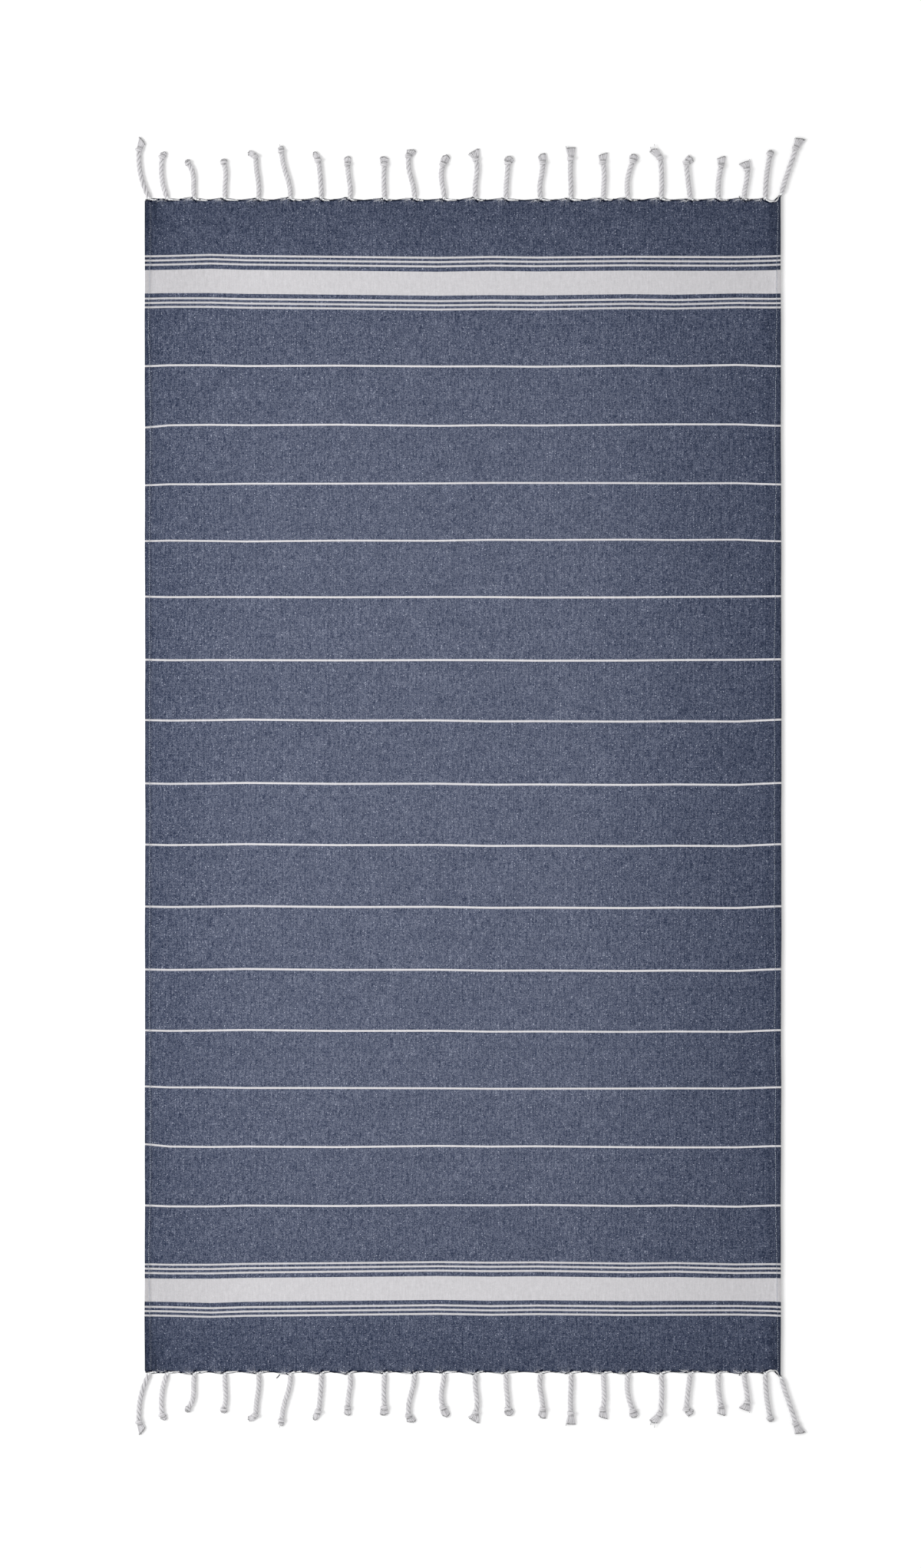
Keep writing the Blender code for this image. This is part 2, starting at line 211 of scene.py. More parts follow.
# One row for each cord, left to right, in millimetres. The first nine are as in the part's source.
# slant is how much further the right corner of the cut stands out than the left, bulb, from 0 to 1, is
# how far the brush closes round into a ball, and skew is how far the cut tips are pushed to the right.
# The plies turn once in each pitch. bundle and full are the length and the fullness of the white warp
# gathered on the right of the root.
CORD_COLUMNS = ("root", "lean", "bow", "sway", "reach", "turn", "brush", "spread", "hump",
                "slant", "bulb", "skew", "pitch", "bundle", "full")
CORD_ROWS = np.array((
    (-486, -16, -6, 0, 76, 3.5, 15, 11, 1, -9, 0.1, 1.5, 25, 12, 0.7),
    (-458.5, -8, -4.5, 0, 65, 3.5, 7.5, 9, 2.4, 2, 1, 0.5, 21, 20, 1.1),
    (-416.5, -9.5, 3.5, -1.5, 55, -2, 5, 8, 4.6, -1, 1, 0, 17, 21, 1.1),
    (-369, -2, 1.5, -1, 56, -0.5, 5.5, 10, 3.2, 0, 1, 0, 18, 21, 1),
    (-317.5, -4, 1, 1, 65, -8, 7.5, 9, 3, 1, 0.7, -3, 18, 14, 0.9),
    (-267.5, -14, 0.5, 1.5, 73, -1, 8, 8, 4.6, 1, 0.8, -0.5, 17, 18, 1),
    (-220, -4.5, 1, 0, 59, -5.5, 13.5, 9, 4, -1, 1, -0.5, 20, 13, 0.9),
    (-176, -3, 1, 1, 53, -0.5, 12, 10, 4, 1, 0.4, 0, 17, 12, 1),
    (-122, -0.5, -1, 0, 53, -0.5, 12, 13, 3, -2, 0.5, 0, 19, 13, 0.9),
    (-75.5, -9.5, -1, 1.5, 66, 5.5, 9.5, 13, 3.4, 5, 0.3, 0, 19, 14, 0.9),
    (-29.5, -2, -3, 1, 53, 3, 14.5, 12, 2.4, 2, 0.7, 2.5, 19, 21, 1.1),
    (19.5, 0, 0, -1.5, 61, -1, 13, 16, 4.2, 4.5, 0, -2.5, 22, 12, 0.8),
    (66.5, 2.5, -1, -0.5, 55, 2.5, 11, 14, 3.4, 0, 1, 0, 19, 19, 1),
    (120, 3.5, -2.5, -1, 55.5, -2, 14, 12, 1.4, 3, 0.5, 0, 19, 16, 1),
    (166.5, 0, -0.5, 0.5, 62, -1, 17, 14, 2.8, 0, 0, 0, 19, 17, 1),
    (216.5, -0.5, 1.5, -0.5, 56, 0.5, 13.5, 13, 3.6, 5, 0.1, 0, 18, 15, 0.9),
    (255.5, 7, -5, 0, 58, 2, 11, 13, 4.4, 1, 0.9, 0, 18, 16, 0.9),
    (306, -1, 1.5, 0, 63, -10, 13.5, 12, 4, -4, 0.2, -2, 22, 16, 1.1),
    (351.5, -6.5, -0.5, 0, 56, 4.5, 8, 12, 1.6, 0, 0.6, 3.5, 18, 15, 1),
    (395, 4.5, -2.5, 0, 51, 0, 13.5, 12, 2.8, 4, 0.1, 0, 17, 15, 1),
    (434.5, 5.5, 0, -0.5, 45, -3.5, 12, 17, 4, 0, 0, -1, 17, 11, 0.8),
    (467.5, 7.5, -2, 0, 69, 2, 5.5, 9, 2.4, 0, 1, 0, 20, 16, 1.3),
    (490.5, 24, -1, -0.5, 78, 6, 15.5, 15.5, 0, 5, 0.1, 1.5, 23, 4, 0.7),
))
CORDS = dict(zip(CORD_COLUMNS, (column[:, None] for column in CORD_ROWS.T * MM)))
CORDS.update({key: CORDS[key] / MM for key in ("bulb", "full")})
ROOTS, HUMPS, BUNDLES, FULL = (CORDS[key][:, 0] for key in ("root", "hump", "bundle", "full"))
CORD_COUNT = len(CORD_ROWS)
print(CORD_COUNT, "cords at each end")


# %% The ends of the cloth and the lines of the cords
def raised_cosine(distance, width):
    """1 at no distance, falling to 0 at the width: half of one plus the cosine."""
    return 0.5 + 0.5 * np.cos(math.pi * np.clip(np.abs(distance) / width, 0, 1))


def smooth_step(share):
    """0 up to 0, 1 from 1, and a smooth rise between."""
    share = np.clip(share, 0, 1)
    return share * share * (3 - 2 * share)


def end_offset(x):
    """How far the cloth's end stands out from its mean line at x: back between the cords, and a
    raised cosine out beside each one, steeper on its right."""
    x = np.asarray(x, dtype=float)
    distance = x[..., None] - (ROOTS - HUMP_LEFT)
    slope = np.where(distance < 0, HUMP_SLOPE_LEFT, HUMP_SLOPE_RIGHT)
    humps = (HUMP_SHARE * HUMPS * raised_cosine(distance, slope)).sum(-1)
    corner = CORNER_LIFT * raised_cosine(HALF_WIDTH - x, CORNER_WIDTH)
    return humps - END_DIP + corner - CORNER_DIP * raised_cosine(HALF_WIDTH - DIP_AT - x, DIP_WIDTH)


def cord_line(out):
    """Place across the towel at distances out, whose first axis is the cords: a leaning line plus a
    bow, an S-bend, and a turn beyond the knot."""
    beyond = out.reshape(CORD_COUNT, -1)
    along = np.clip(beyond / CORDS["reach"], 0, 1)
    x = CORDS["root"] + CORDS["lean"] * along + CORDS["bow"] * 4 * along * (1 - along)
    x = x + CORDS["sway"] * np.sin(2 * math.pi * along)
    x = x + CORDS["turn"] * np.clip((beyond - CORDS["reach"]) / CORDS["brush"], 0, 1)
    return x.reshape(out.shape)


def placed(x, out, z):
    """Points in the towel's frame from places across the cloth and distances beyond its mean end."""
    x, out, z = np.broadcast_arrays(x, out, z)
    return np.stack((x + CLOTH_MIDDLE, HALF_LENGTH + out, z), -1)


# %% [markdown]
# ## Shader maths as plain expressions
#
# A weave is arithmetic on a map: which yarn is this, how far across it, is it on top here? Written as
# nodes by hand that is hard to read, so a small class stands for the output of a node and lets
# Python's own operators add the Math nodes.

# %% A link that does arithmetic
def maths(operation):
    """A method that adds a Math node for this operation."""
    return lambda link, *others: link.node("ShaderNodeMath", {"operation": operation}, (link, *others))


class Link:
    """One output of a node. +, -, *, / add Math nodes, and node() adds any other node."""

    __add__ = __radd__ = maths("ADD")
    __sub__ = maths("SUBTRACT")
    __mul__ = __rmul__ = maths("MULTIPLY")
    __truediv__ = maths("DIVIDE")
    below = maths("LESS_THAN")
    whole = maths("FLOOR")
    fraction = maths("FRACT")
    size = maths("ABSOLUTE")
    power = maths("POWER")
    at_least = maths("MAXIMUM")
    sine = maths("SINE")

    def __init__(self, tree, socket):
        self.tree, self.socket = tree, socket

    def node(self, kind, settings=None, sockets=(), output=0):
        """A node of this kind, with its settings made first, then its sockets filled or joined."""
        node = self.tree.nodes.new(kind)
        for key, value in (settings or {}).items():
            setattr(node, key, value)
        for key, value in sockets.items() if isinstance(sockets, dict) else enumerate(sockets):
            if isinstance(value, Link):
                self.tree.links.new(value.socket, node.inputs[key])
            else:
                node.inputs[key].default_value = value
        return Link(self.tree, node.outputs[output])

    def __rsub__(self, other):
        return self.node("ShaderNodeMath", {"operation": "SUBTRACT"}, (other, self))

    def limited(self):
        return self.node("ShaderNodeClamp", None, (self,))

    def eased(self, start, end):
        """0 up to the start, 1 from the end, and a smooth rise between them."""
        sockets = {"Value": self, "From Min": start, "From Max": end}
        return self.node("ShaderNodeMapRange", {"interpolation_type": "SMOOTHSTEP"}, sockets)

    def chance(self, seed=0.0):
        """A random number from 0 to 1 for each whole number."""
        return self.node("ShaderNodeTexWhiteNoise", {"noise_dimensions": "1D"}, {"W": self + seed})

    def wave(self):
        """A sine of one turn for each whole number, from 0 to 1."""
        return (self * (2 * math.pi)).sine() * 0.5 + 0.5

    def with_spots(self, other, every):
        """Scattered spots, one for each square of this size: the distance to the nearest one, as a share
        of the size, and a random number of its own."""
        place = self.node("ShaderNodeCombineXYZ", None, (self / every, other / every))
        sockets = {"Vector": place, "Scale": 1.0}
        spots = self.node("ShaderNodeTexVoronoi", {"voronoi_dimensions": "2D"}, sockets)
        colour = Link(self.tree, spots.socket.node.outputs["Color"])
        return spots, colour.node("ShaderNodeSeparateColor", None, (colour,))

    def with_noise(self, other, stretch, detail=2.0, third=0.0):
        """Noise from 0 to 1 over two numbers, each scaled by its own stretch."""
        place = self.node("ShaderNodeCombineXYZ", None, (self * stretch[0], other * stretch[1], third))
        sockets = {"Vector": place, "Scale": 1.0, "Detail": detail, "Roughness": 0.55}
        return self.node("ShaderNodeTexNoise", {"noise_dimensions": "3D"}, sockets)

    def times(self, amount):
        """A colour made lighter or darker by a number."""
        spread = self.node("ShaderNodeCombineXYZ", None, (amount, amount, amount))
        return self.node("ShaderNodeVectorMath", {"operation": "MULTIPLY"}, (self, spread))


def mixed(factor, first, second):
    """Colour between two colours, each one a link or three numbers. A Mix node has its colours in
    sockets 6 and 7, and gives them in output 2."""
    first, second = (colour if isinstance(colour, Link) else (*colour, 1) for colour in (first, second))
    sockets = {0: factor, 6: first, 7: second}
    return factor.node("ShaderNodeMix", {"data_type": "RGBA"}, sockets, output=2)


def new_shader(name, constants):
    """A material, and its shader with these constants set."""
    material = bpy.data.materials.new(name)
    material.use_nodes = True
    shader = material.node_tree.nodes["Principled BSDF"]
    for key, value in constants.items():
        shader.inputs[key].default_value = value
    return material, shader


def mapped_material(name, roughness, sheen=0.0, shine=0.2):
    """A material, its shader, and the two numbers of the piece's map, across and along."""
    material, shader = new_shader(name, {"Roughness": roughness, "Specular IOR Level": shine,
                                         "Sheen Weight": sheen, "Sheen Roughness": 0.6})
    tree = material.node_tree
    cut = tree.nodes.new("ShaderNodeUVMap")
    cut.uv_map = "cut"
    across = Link(tree, cut.outputs[0])
    across = across.node("ShaderNodeSeparateXYZ", None, (across,))
    return material, shader, across, Link(tree, across.socket.node.outputs["Y"])


def carried(link, key):
    """The number that each point of the piece carries under this name."""
    return link.node("ShaderNodeAttribute", {"attribute_name": key}, output=2)


def finish_shader(shader, colour, height, depth):
    """Joins the colour, and a bump whose height of 1 stands depth metres proud."""
    tree = colour.tree
    tree.links.new(colour.socket, shader.inputs["Base Color"])
    bump = height.node("ShaderNodeBump", None, {"Height": height, "Distance": depth, "Strength": 1.0})
    tree.links.new(bump.socket, shader.inputs["Normal"])


# %% [markdown]
# ## The weave
#
# The cloth is a plain weave in which the fat blue weft nearly hides the thin white warp: from close by
# it is rows of blue yarn with a white dot wherever a warp end comes over. So the pattern is worked out
# in yarns. The map holds metres across the cut cloth and metres along it, in loom terms, and dividing
# by the yarn spacings gives the number of the warp end and of the pick. A band is then a simple rule
# on the number of the pick: four white picks in every 127, and a wide group near each end.

# %% Yarn counts and bands
END_SPACE = 0.70 * MM           # between two warp ends
PICK = 0.733 * MM               # between two picks of weft
LINE_EVERY, LINE_PICKS = 127, 4             # the single white lines
LINES_WITHIN = 7.5 * LINE_EVERY
GROUP_AT, WIDE_PICKS = 1063, 50             # the wide white band, from the middle of the towel
FINE_FIRST, FINE_EVERY, FINE_PICKS = 36, 9, 4        # the three fine lines on each side of it
END_PICK = 1239                 # the last pick

NAVY = (0.010, 0.027, 0.088)
DEEP_NAVY = (0.010, 0.033, 0.108)       # where the cloth is darkest, from its deeper tone and from painted falloff and shade
WARP_WHITE = (0.530, 0.543, 0.595)
BAND_WHITE = (0.600, 0.582, 0.594)


def white_picks(pick):
    """1 where a pick is white, and 1 where it is in a single line. Its number counts from the middle,
    so one rule serves both halves."""
    place = (pick + 0.5).size()
    nearest = ((place / LINE_EVERY + 0.5).fraction() - 0.5).size() * LINE_EVERY
    line = nearest.below(LINE_PICKS / 2) * place.below(LINES_WITHIN)
    from_group = (place - GROUP_AT).size()
    wide = from_group.below(WIDE_PICKS / 2)
    step = (((from_group - FINE_FIRST) / FINE_EVERY + 0.5).fraction() - 0.5).size() * FINE_EVERY
    limits = FINE_FIRST - FINE_EVERY / 2, FINE_FIRST + 2.5 * FINE_EVERY
    fine = step.below(FINE_PICKS / 2) * from_group.below(limits[1]) * (1 - from_group.below(limits[0]))
    return (line + wide + fine).limited(), line


# %% Uneven yarns and worn places
GRAIN, FINE_GRAIN = 1.45 * MM, 0.899 * MM       # sizes of the mottled grain
NUBS = 4.2 * MM                                 # how far apart the nubs are
STITCHED = 0.5 * MM                             # the tone changes this near a hem's stitches


def yarn_tones(across, along, end, pick):
    """How far each place is from even, around 0. No two yarns are alike: each has its own tone, and
    thick and thin places along it. Where a thin stretch of weft lets the warp through, a pale spot
    shows, and a thick one leaves a dark spot."""
    warp_slub = end.with_noise(along, (7.3, 55.0))
    weft_slub = across.with_noise(pick, (60.0, 5.7), third=4.0)
    streak = across.with_noise(along, (430.0, 60.0), detail=1.0, third=9.0)
    grain, fine_grain = (across.with_spots(along, every)[1] for every in (GRAIN, FINE_GRAIN))
    shares = ((grain, 0.75), (fine_grain, 1.05), (streak, 1.3), (warp_slub, 0.9), (weft_slub, 0.7),
              (end.chance(), 0.20), (pick.chance(7.3), 0.12))
    uneven = sum((part - 0.5) * share for part, share in shares)
    away, luck = across.with_spots(along, NUBS)
    nub = (1 - away.eased(0.10, 0.28)) * luck
    dark_spot = (1 - away.eased(0.12, 0.32)) * luck.below(0.08)
    return uneven + nub.eased(0.72, 0.97) * 2.6 - dark_spot * 0.8, grain, streak, warp_slub


def paleness_and_falloff(across, ends, right, left):
    """1 in the middle of the towel, less towards its ends and sides, and least beside the right hem: partly
    the blue's own deeper tone there, and partly painted light falloff."""
    near_hem = across.size().eased(455 * MM, 485 * MM) * (0.09 + ends * 0.22)
    near_hem = near_hem + across.eased(450 * MM, 475 * MM) * (0.12 - ends * 0.08)
    near_hem = near_hem + across.eased(HALF_WIDTH - 25 * MM, HALF_WIDTH - 17 * MM) * ends * 0.20
    sides = right * 0.40 * (1 - ends * 0.52) + left * 0.215 * (1 - ends * 0.30)
    return (1 - ends * 0.47) * (1 - sides) * (1 - near_hem)


def on_hem(inwards, hem):
    """1 on a hem, and 0 inside its stitches."""
    return inwards.eased(HALF_WIDTH - hem - STITCHED, HALF_WIDTH - hem + STITCHED)


# %% The chambray material
WARP_HALF, WEFT_HALF = 0.42, 0.50       # half the size of a white dot, in yarn spacings
EDGE_DARK = 2.2 * MM                    # the last picks are beaten close this far in
PUCKER_SHADE_AT = 478 * MM                    # painted shade of a pucker beside the left hem, near each end


def make_chambray():
    """Tones and shades are shares of each other, set until the cloth matched the towel."""
    material, shader, across, along = mapped_material("chambray", roughness=0.92, sheen=0.03)
    warp, weft = across / END_SPACE, along / PICK
    end, pick = warp.whole(), weft.whole()
    on_end, on_pick = (warp - end) - 0.5, (weft - pick) - 0.5       # -0.5 to 0.5 across each yarn
    white, line = white_picks(pick)
    to_end = END_PICK * PICK - along.size()

    # A warp end comes over every second pick, and its neighbours over the others.
    over = (((end + pick) / 2).fraction() * 4 - 1).limited()
    dot = 1 - ((on_end / WARP_HALF).power(2.0) + (on_pick / WEFT_HALF).power(2.0))
    dot = dot.eased(0.0, 0.6) * over

    # The cloth is deeper in tone where less of the white warp shows, and it looks rougher for that. The
    # depth also carries painted light falloff towards the ends and sides.
    right, left = across.eased(120 * MM, 470 * MM), (0 - across).eased(300 * MM, 470 * MM)
    ends = (along / HALF_LENGTH).size().power(4.5)
    depth = paleness_and_falloff(across, ends, right, left)
    uneven, grain, streak, warp_slub = yarn_tones(across, along, end, pick)
    uneven = (1 + uneven * (1.68 - depth * 0.80)).at_least(0.10)
    mottle = across.with_noise(along, (22.0, 16.0), detail=4.0, third=2.0)
    depth = depth * (1 + (mottle - 0.5) * 0.42)

    # Each hem is folded cloth, a little deeper in tone. Painted shade darkens its outer fold, and a pucker
    # beside the left corners.
    on_right, on_left = on_hem(across, HEM_RIGHT), on_hem(0 - across, HEM_LEFT)
    fold_shade = across.size().eased(HALF_WIDTH - 2.4 * MM, HALF_WIDTH - 0.9 * MM)
    fold_shade = fold_shade * (on_right * 0.5 + on_left * (0.26 + ends * 0.28))
    pucker_shade = 1 - (across + PUCKER_SHADE_AT).size().eased(0.8 * MM, 2.6 * MM)
    pucker_shade = pucker_shade * (1 - to_end.eased(26 * MM, 36 * MM)) * (mottle + 0.2).limited()
    depth = depth * (1 - on_left * 0.26 - on_right * 0.24) * (1 - fold_shade) * (1 - pucker_shade * 0.65)
    shown, tone = depth.power(0.47), depth.power(0.60)

    # At each end the last picks are beaten close, so no white shows there, except on the humps, where the
    # warp is drawn up into fans of pale streaks. Painted shade darkens that same band.
    drawn = carried(across, "drawn")
    fan = across.with_noise(along, (480.0, 26.0), detail=2.0, third=6.0).eased(0.40, 0.68)
    at_end = 1 - to_end.eased(EDGE_DARK / 2, EDGE_DARK)
    beaten_and_shaded = at_end * (1 - drawn.eased(0.15, 0.50))

    # Painted shade on the edges of each pick, where it meets the next; it dims the blue and the white bands.
    weft_gap_shade = (on_pick * 2).power(4.0)
    cover = (dot * 0.42 + 0.080) * (1 + (uneven - 1) * 0.9) * (1 - beaten_and_shaded * 0.98) * shown
    cover = (cover + drawn * (fan * 0.30 + at_end * 0.30)).limited()
    light = (1 + (uneven - 1) * 0.45) * tone * (1 - weft_gap_shade * 0.35) * (1 - beaten_and_shaded * 0.55) * 0.97
    blue = mixed(cover, mixed((1 - depth).limited(), NAVY, DEEP_NAVY), WARP_WHITE).times(light)
    cloud = across.with_noise(along, (150.0, 170.0), detail=3.0, third=12.0)
    pale = 1 + (uneven - 1) * 0.06 + (streak - 0.5) * 0.12 + (warp_slub - 0.5) * 0.10 + (cloud - 0.5) * 0.18
    pale = pale * (1 - weft_gap_shade * 0.10) * (1 + line * 0.15)
    # Painted light falloff dims the white bands towards both sides.
    pale = pale * (1 - right * 0.06 - left * 0.10) * (1 - (on_left + on_right) * 0.12)
    colour = mixed(white, blue, mixed(dot, BAND_WHITE, WARP_WHITE).times(pale))
    height = (1 - (on_pick * 2).power(2.0)) * 0.6 + dot * 0.5 + grain * 0.9 + warp_slub * 0.5
    finish_shader(shader, colour, height, 0.12 * MM)
    return material


chambray = make_chambray()
print("chambray:", len(chambray.node_tree.nodes), "nodes")

# %% [markdown]
# ## The cloth
#
# The real cloth is cut wider than the towel, and each side is turned under twice and stitched down.
# A flat plane with a painted line would look right only from above, so the section across the cloth is
# drawn as the path that the real fabric takes: from the raw edge hidden inside the hem, round the two
# folds, over the hem and down on to the flat. The distance along that path is the map across the cloth.

# %% Section across a hem
SHEET = 0.66 * MM                   # thickness of the cloth
LAYERS = np.array((0.34, 1.08, 1.82)) * MM      # middle of each layer in a hem, bottom to top
FOLD_PAST_SEAM = 1.3 * MM           # the hidden fold lies this far inside the stitch line
RAW_EDGE = 1.9 * MM                 # and the raw edge this far from the side
SEAM_HEIGHT = 1.74 * MM             # the stitches pull the top layer down to this
SEAM_STEPS = np.array((-0.25, 0.0, 0.3, 0.9, 1.6, 2.4, 3.4, 4.8)) * MM      # in from the stitches
SEAM_HEIGHTS = np.array((1.78, 1.74, 1.76, 1.74, 1.35, 0.80, 0.46, 0.34)) * MM
FLAT_POINTS = 262                   # across the flat cloth, its two ends counted


def arc(middle_x, middle_z, radius, first, last, steps):
    """Points of an arc, between two angles in degrees."""
    angle = np.radians(np.linspace(first, last, steps))
    return np.stack((middle_x + radius * np.cos(angle), middle_z + radius * np.sin(angle)), 1)


def level(x, z):
    """Points at these places, all at one height."""
    return np.stack((x, np.full(len(x), z)), 1)


def hem_section(seam):
    """From the raw edge in the middle of the hem, round the inner and the outer fold, over the seam
    and down to the flat cloth; x counts inwards from the side edge."""
    bottom, middle, top = LAYERS
    outer, inner = (top - bottom) / 2, (middle - bottom) / 2
    turn = seam + FOLD_PAST_SEAM - inner
    return np.concatenate((
        level(np.linspace(RAW_EDGE, turn, 4)[:-1], middle),
        arc(turn, (bottom + middle) / 2, inner, 90, -90, 6),
        level(np.linspace(turn, outer + SHEET / 2, 6)[1:-1], bottom),
        arc(outer + SHEET / 2, (bottom + top) / 2, outer, 270, 90, 9),
        level(np.array((0.4, 0.75, 0.9)) * seam, top),
        np.stack((seam + SEAM_STEPS, SEAM_HEIGHTS), 1),
    ))


left_hem = hem_section(HEM_LEFT) + (-HALF_WIDTH, 0)
right_hem = (hem_section(HEM_RIGHT) * (-1, 1) + (HALF_WIDTH, 0))[::-1]
flat_x = np.linspace(left_hem[-1, 0], right_hem[0, 0], FLAT_POINTS)[1:-1]
section = np.concatenate((left_hem, level(flat_x, LAYERS[0]), right_hem))
across_run = np.concatenate(([0], np.cumsum(np.linalg.norm(np.diff(section, axis=0), axis=1))))
on_flat = slice(len(left_hem), -len(right_hem))
across_run -= np.interp(0, section[on_flat, 0], across_run[on_flat])

# %% [markdown]
# ### Where the picks lie
#
# Hand-laid cloth is never square: each band wanders by a millimetre or two. The bands' lines were
# measured on the laid towel, as how far each stands from straight at 12 places across. The map between
# two known lines is shared out evenly, so every pick between them follows.

# %% Lines of the picks
LINE_X = np.array((-491, -456, -391, -337, -195, -40, 43, 114, 257, 328, 424, 489)) * MM
STRAY = {       # tenths of a millimetre outwards, the same at the top and at the bottom
    "outer": (5, 11, 29, 12, -2, -19, -4, -14, 0, -4, -7, 6),
    "inner": (13, 20, 20, 7, -6, -22, -13, -18, 2, -7, 15, 8),
    "seventh": (-5, 9, 10, -3, 4, -8, -6, -13, 4, -4, 14, -9),
    "sixth": (-41, -5, 3, -4, 5, -14, -4, -8, 6, 11, 9, -15),
    "fifth": (-26, -12, -12, -2, -2, 4, 11, 10, 7, 3, 6, -16),
    "fourth": (-11, -3, -9, -18, -3, -6, 9, 6, 13, 6, 12, -17),
    "third": (7, -1, 2, 1, -3, 2, 0, -7, -5, 2, 6, 12),
}
# The single lines from the bottom to the top: the stray line of each, and its millimetres from the
# middle. The six highest stray towards +Y by these numbers, and the others towards -Y.
SINGLE_STRAYS = ("seventh", "sixth", "fifth", *["fourth"] * 6, "third", "third", "fourth", "fifth",
                 "sixth", "seventh")
SINGLE_HEIGHTS = (-649.8, -558.6, -467.7, -379.8, -285.2, -187.7, -91.9, 2.8, 101.0, 194.6, 292.8,
                  380.1, 468.0, 558.8, 650.2)
# The lines of the two groups: picks outwards from the middle of the wide band, millimetres from the
# towel's middle at the top and at the bottom, and stray line.
GROUP_LINES = (
    (54, 819.38, 819.08, "outer"), (36, 806.02, 805.72, "outer"), (25, 797.8, 797.5, "outer"),
    (-25, 761.2, 761.0, "inner"), (-36, 752.47, 752.07, "inner"), (-54, 739.93, 739.53, "inner"),
)
PICK_LINES = [(LINE_EVERY * number, height, stray, 1 if number > 1 else -1)
              for number, height, stray in zip(range(-7, 8), SINGLE_HEIGHTS, SINGLE_STRAYS)]
for step, at_top, at_bottom, stray in GROUP_LINES:
    PICK_LINES += (GROUP_AT + step, at_top, stray, 1), (-GROUP_AT - step, -at_bottom, stray, -1)
PICK_LINES.sort()
END_BLEND = 24 * MM                 # the drawn-up end is straight again this far in
STRAIGHT = HALF_LENGTH - 1.2 * END_BLEND
STRAIGHT_PICK = END_PICK - round(1.2 * END_BLEND / PICK)


def pick_lines(x):
    """Height and loom length of every known pick line at places x, from the bottom end to the top."""
    drawn = end_offset(x)
    strays = {name: np.interp(x, LINE_X, np.array(tenths) * 0.1 * MM) for name, tenths in STRAY.items()}
    heights = [height * MM + sign * strays[stray] for _, height, stray, sign in PICK_LINES]
    straight = np.full_like(x, STRAIGHT)
    heights = [-HALF_LENGTH - drawn, -straight, *heights, straight, HALF_LENGTH + drawn]
    picks = [-END_PICK, -STRAIGHT_PICK, *(line[0] for line in PICK_LINES), STRAIGHT_PICK, END_PICK]
    return np.array(heights), np.array(picks, dtype=float) * PICK


def loom_length(x, y):
    """Map along the cloth: the length at the lowest line plus, for each stretch between two known
    lines, the part of it that lies below the point."""
    heights, lengths = pick_lines(x)
    total = np.full_like(y, lengths[0])
    for low, high, gain in zip(heights[:-1], heights[1:], np.diff(lengths)):
        total += gain * np.clip((y - low) / (high - low), 0, 1)
    return total


# %% How the cloth lies
ROWS_NEAR_END = np.array((0, 0.5, 1.2, 2.2, 3.6, 5.4, 7.8, 11, 15, 20, 26, 34, 44)) * MM
ROW_SPACE, HALF_ROWS = 14 * MM, 58      # inside those, up to the middle
SIDE_LIFT, SIDE_CURL = 4.2 * MM, 46 * MM      # the right side stands a little off the floor
HEM_BLEND = 40 * MM                           # a hem's shift dies away this far inside it
HEM_AT = np.array((0, 87, 150, 206, 278, 385, 456, 510, 600, 723, 813, 905)) * MM   # from the middle
HEMS = {        # mean width, direction inwards, and at those places, in tenths of a millimetre: the
                # width from the side edge to the stitches, and how far the edge stands from straight
    "left": (HEM_LEFT, 1, (68, 68, 66, 70, 68, 66, 74, 88, 86, 55, 82, 88),
             (3, 3, 4, 5, 5, 6, 7, 8, 9, 9, 12, 12)),
    "right": (HEM_RIGHT, -1, (107, 107, 106, 110, 88, 102, 79, 95, 83, 68, 55, 38),
              (-3, -3, -3, -3, -6, -8, -7, -9, -12, -13, -14, -16)),
}
CORNER_ROUND = 3.8 * MM                       # radius of the left corners
RIPPLE, RIDGE, RIDGE_LONG = 0.10 * MM, 0.7 * MM, 30 * MM


def cloth_rise(x, y):
    """Gentle rise and fall of the laid cloth, and the ridge that leads to each cord, above its lowest."""
    ripple = np.sin(x / (61 * MM)) * np.sin(y / (83 * MM)) + np.sin((x - y) / (137 * MM)) + 2
    ridge = np.zeros_like(x)
    out = HALF_LENGTH - np.abs(y)
    for root, hump in zip(ROOTS, HUMPS):
        ridge += (0.25 + hump / (5 * MM)) * raised_cosine(x - root + 3 * MM + 0.25 * out, 9 * MM + 0.2 * out)
    return RIPPLE * ripple + RIDGE * ridge * raised_cosine(out, RIDGE_LONG)


def hem_shift(x, y):
    """Inward shift of the cloth that follows the hems' widths: it grows with the distance from the
    side edge up to the stitches, and dies away further in."""
    shift = np.zeros_like(x)
    for mean, sign, widths, _ in HEMS.values():
        wider = np.interp(np.abs(y), HEM_AT, widths) * 0.1 * MM - mean
        inside = HALF_WIDTH + sign * x
        share = np.clip(inside / mean, 0, 1) * raised_cosine(np.maximum(inside - mean, 0), HEM_BLEND)
        shift = shift + sign * wider * share
    return shift


def side_lift(x):
    """The right side curls up from the floor along a parabola."""
    return SIDE_LIFT * np.clip((x - HALF_WIDTH + SIDE_CURL) / SIDE_CURL, 0, 1) ** 2


def edge_sway(x, y):
    """How far the side edges wander from straight: the measured stand of each edge and two slow sines,
    felt only near the sides."""
    left, right = (np.interp(np.abs(y), HEM_AT, hem[3]) * 0.1 * MM for hem in HEMS.values())
    sway = 0.18 * MM * np.sin(y / (47 * MM)) + 0.12 * MM * np.sin(y / (19 * MM) + 1)
    sway = sway + np.where(x < 0, left, right)
    return sway * np.clip(np.abs(x) / HALF_WIDTH, 0, 1) ** 8 * np.sign(x)


def drawn_up(x, out):
    """1 on the humps at the cloth's end, just left of each root, and 0 away from them."""
    distance = x[..., None] - (ROOTS - 7 * MM)
    near = raised_cosine(distance, np.where(distance < 0, 20 * MM, 9 * MM))
    strength = np.clip(HUMPS / (3 * MM), 0.25, 1)
    return (near * strength).max(-1) * raised_cosine(out, 15 * MM)


# %% The cloth itself
LEVEL_BESIDE, RISES_OVER = 14 * MM, 8 * MM    # the rise and fall starts clear of both hems


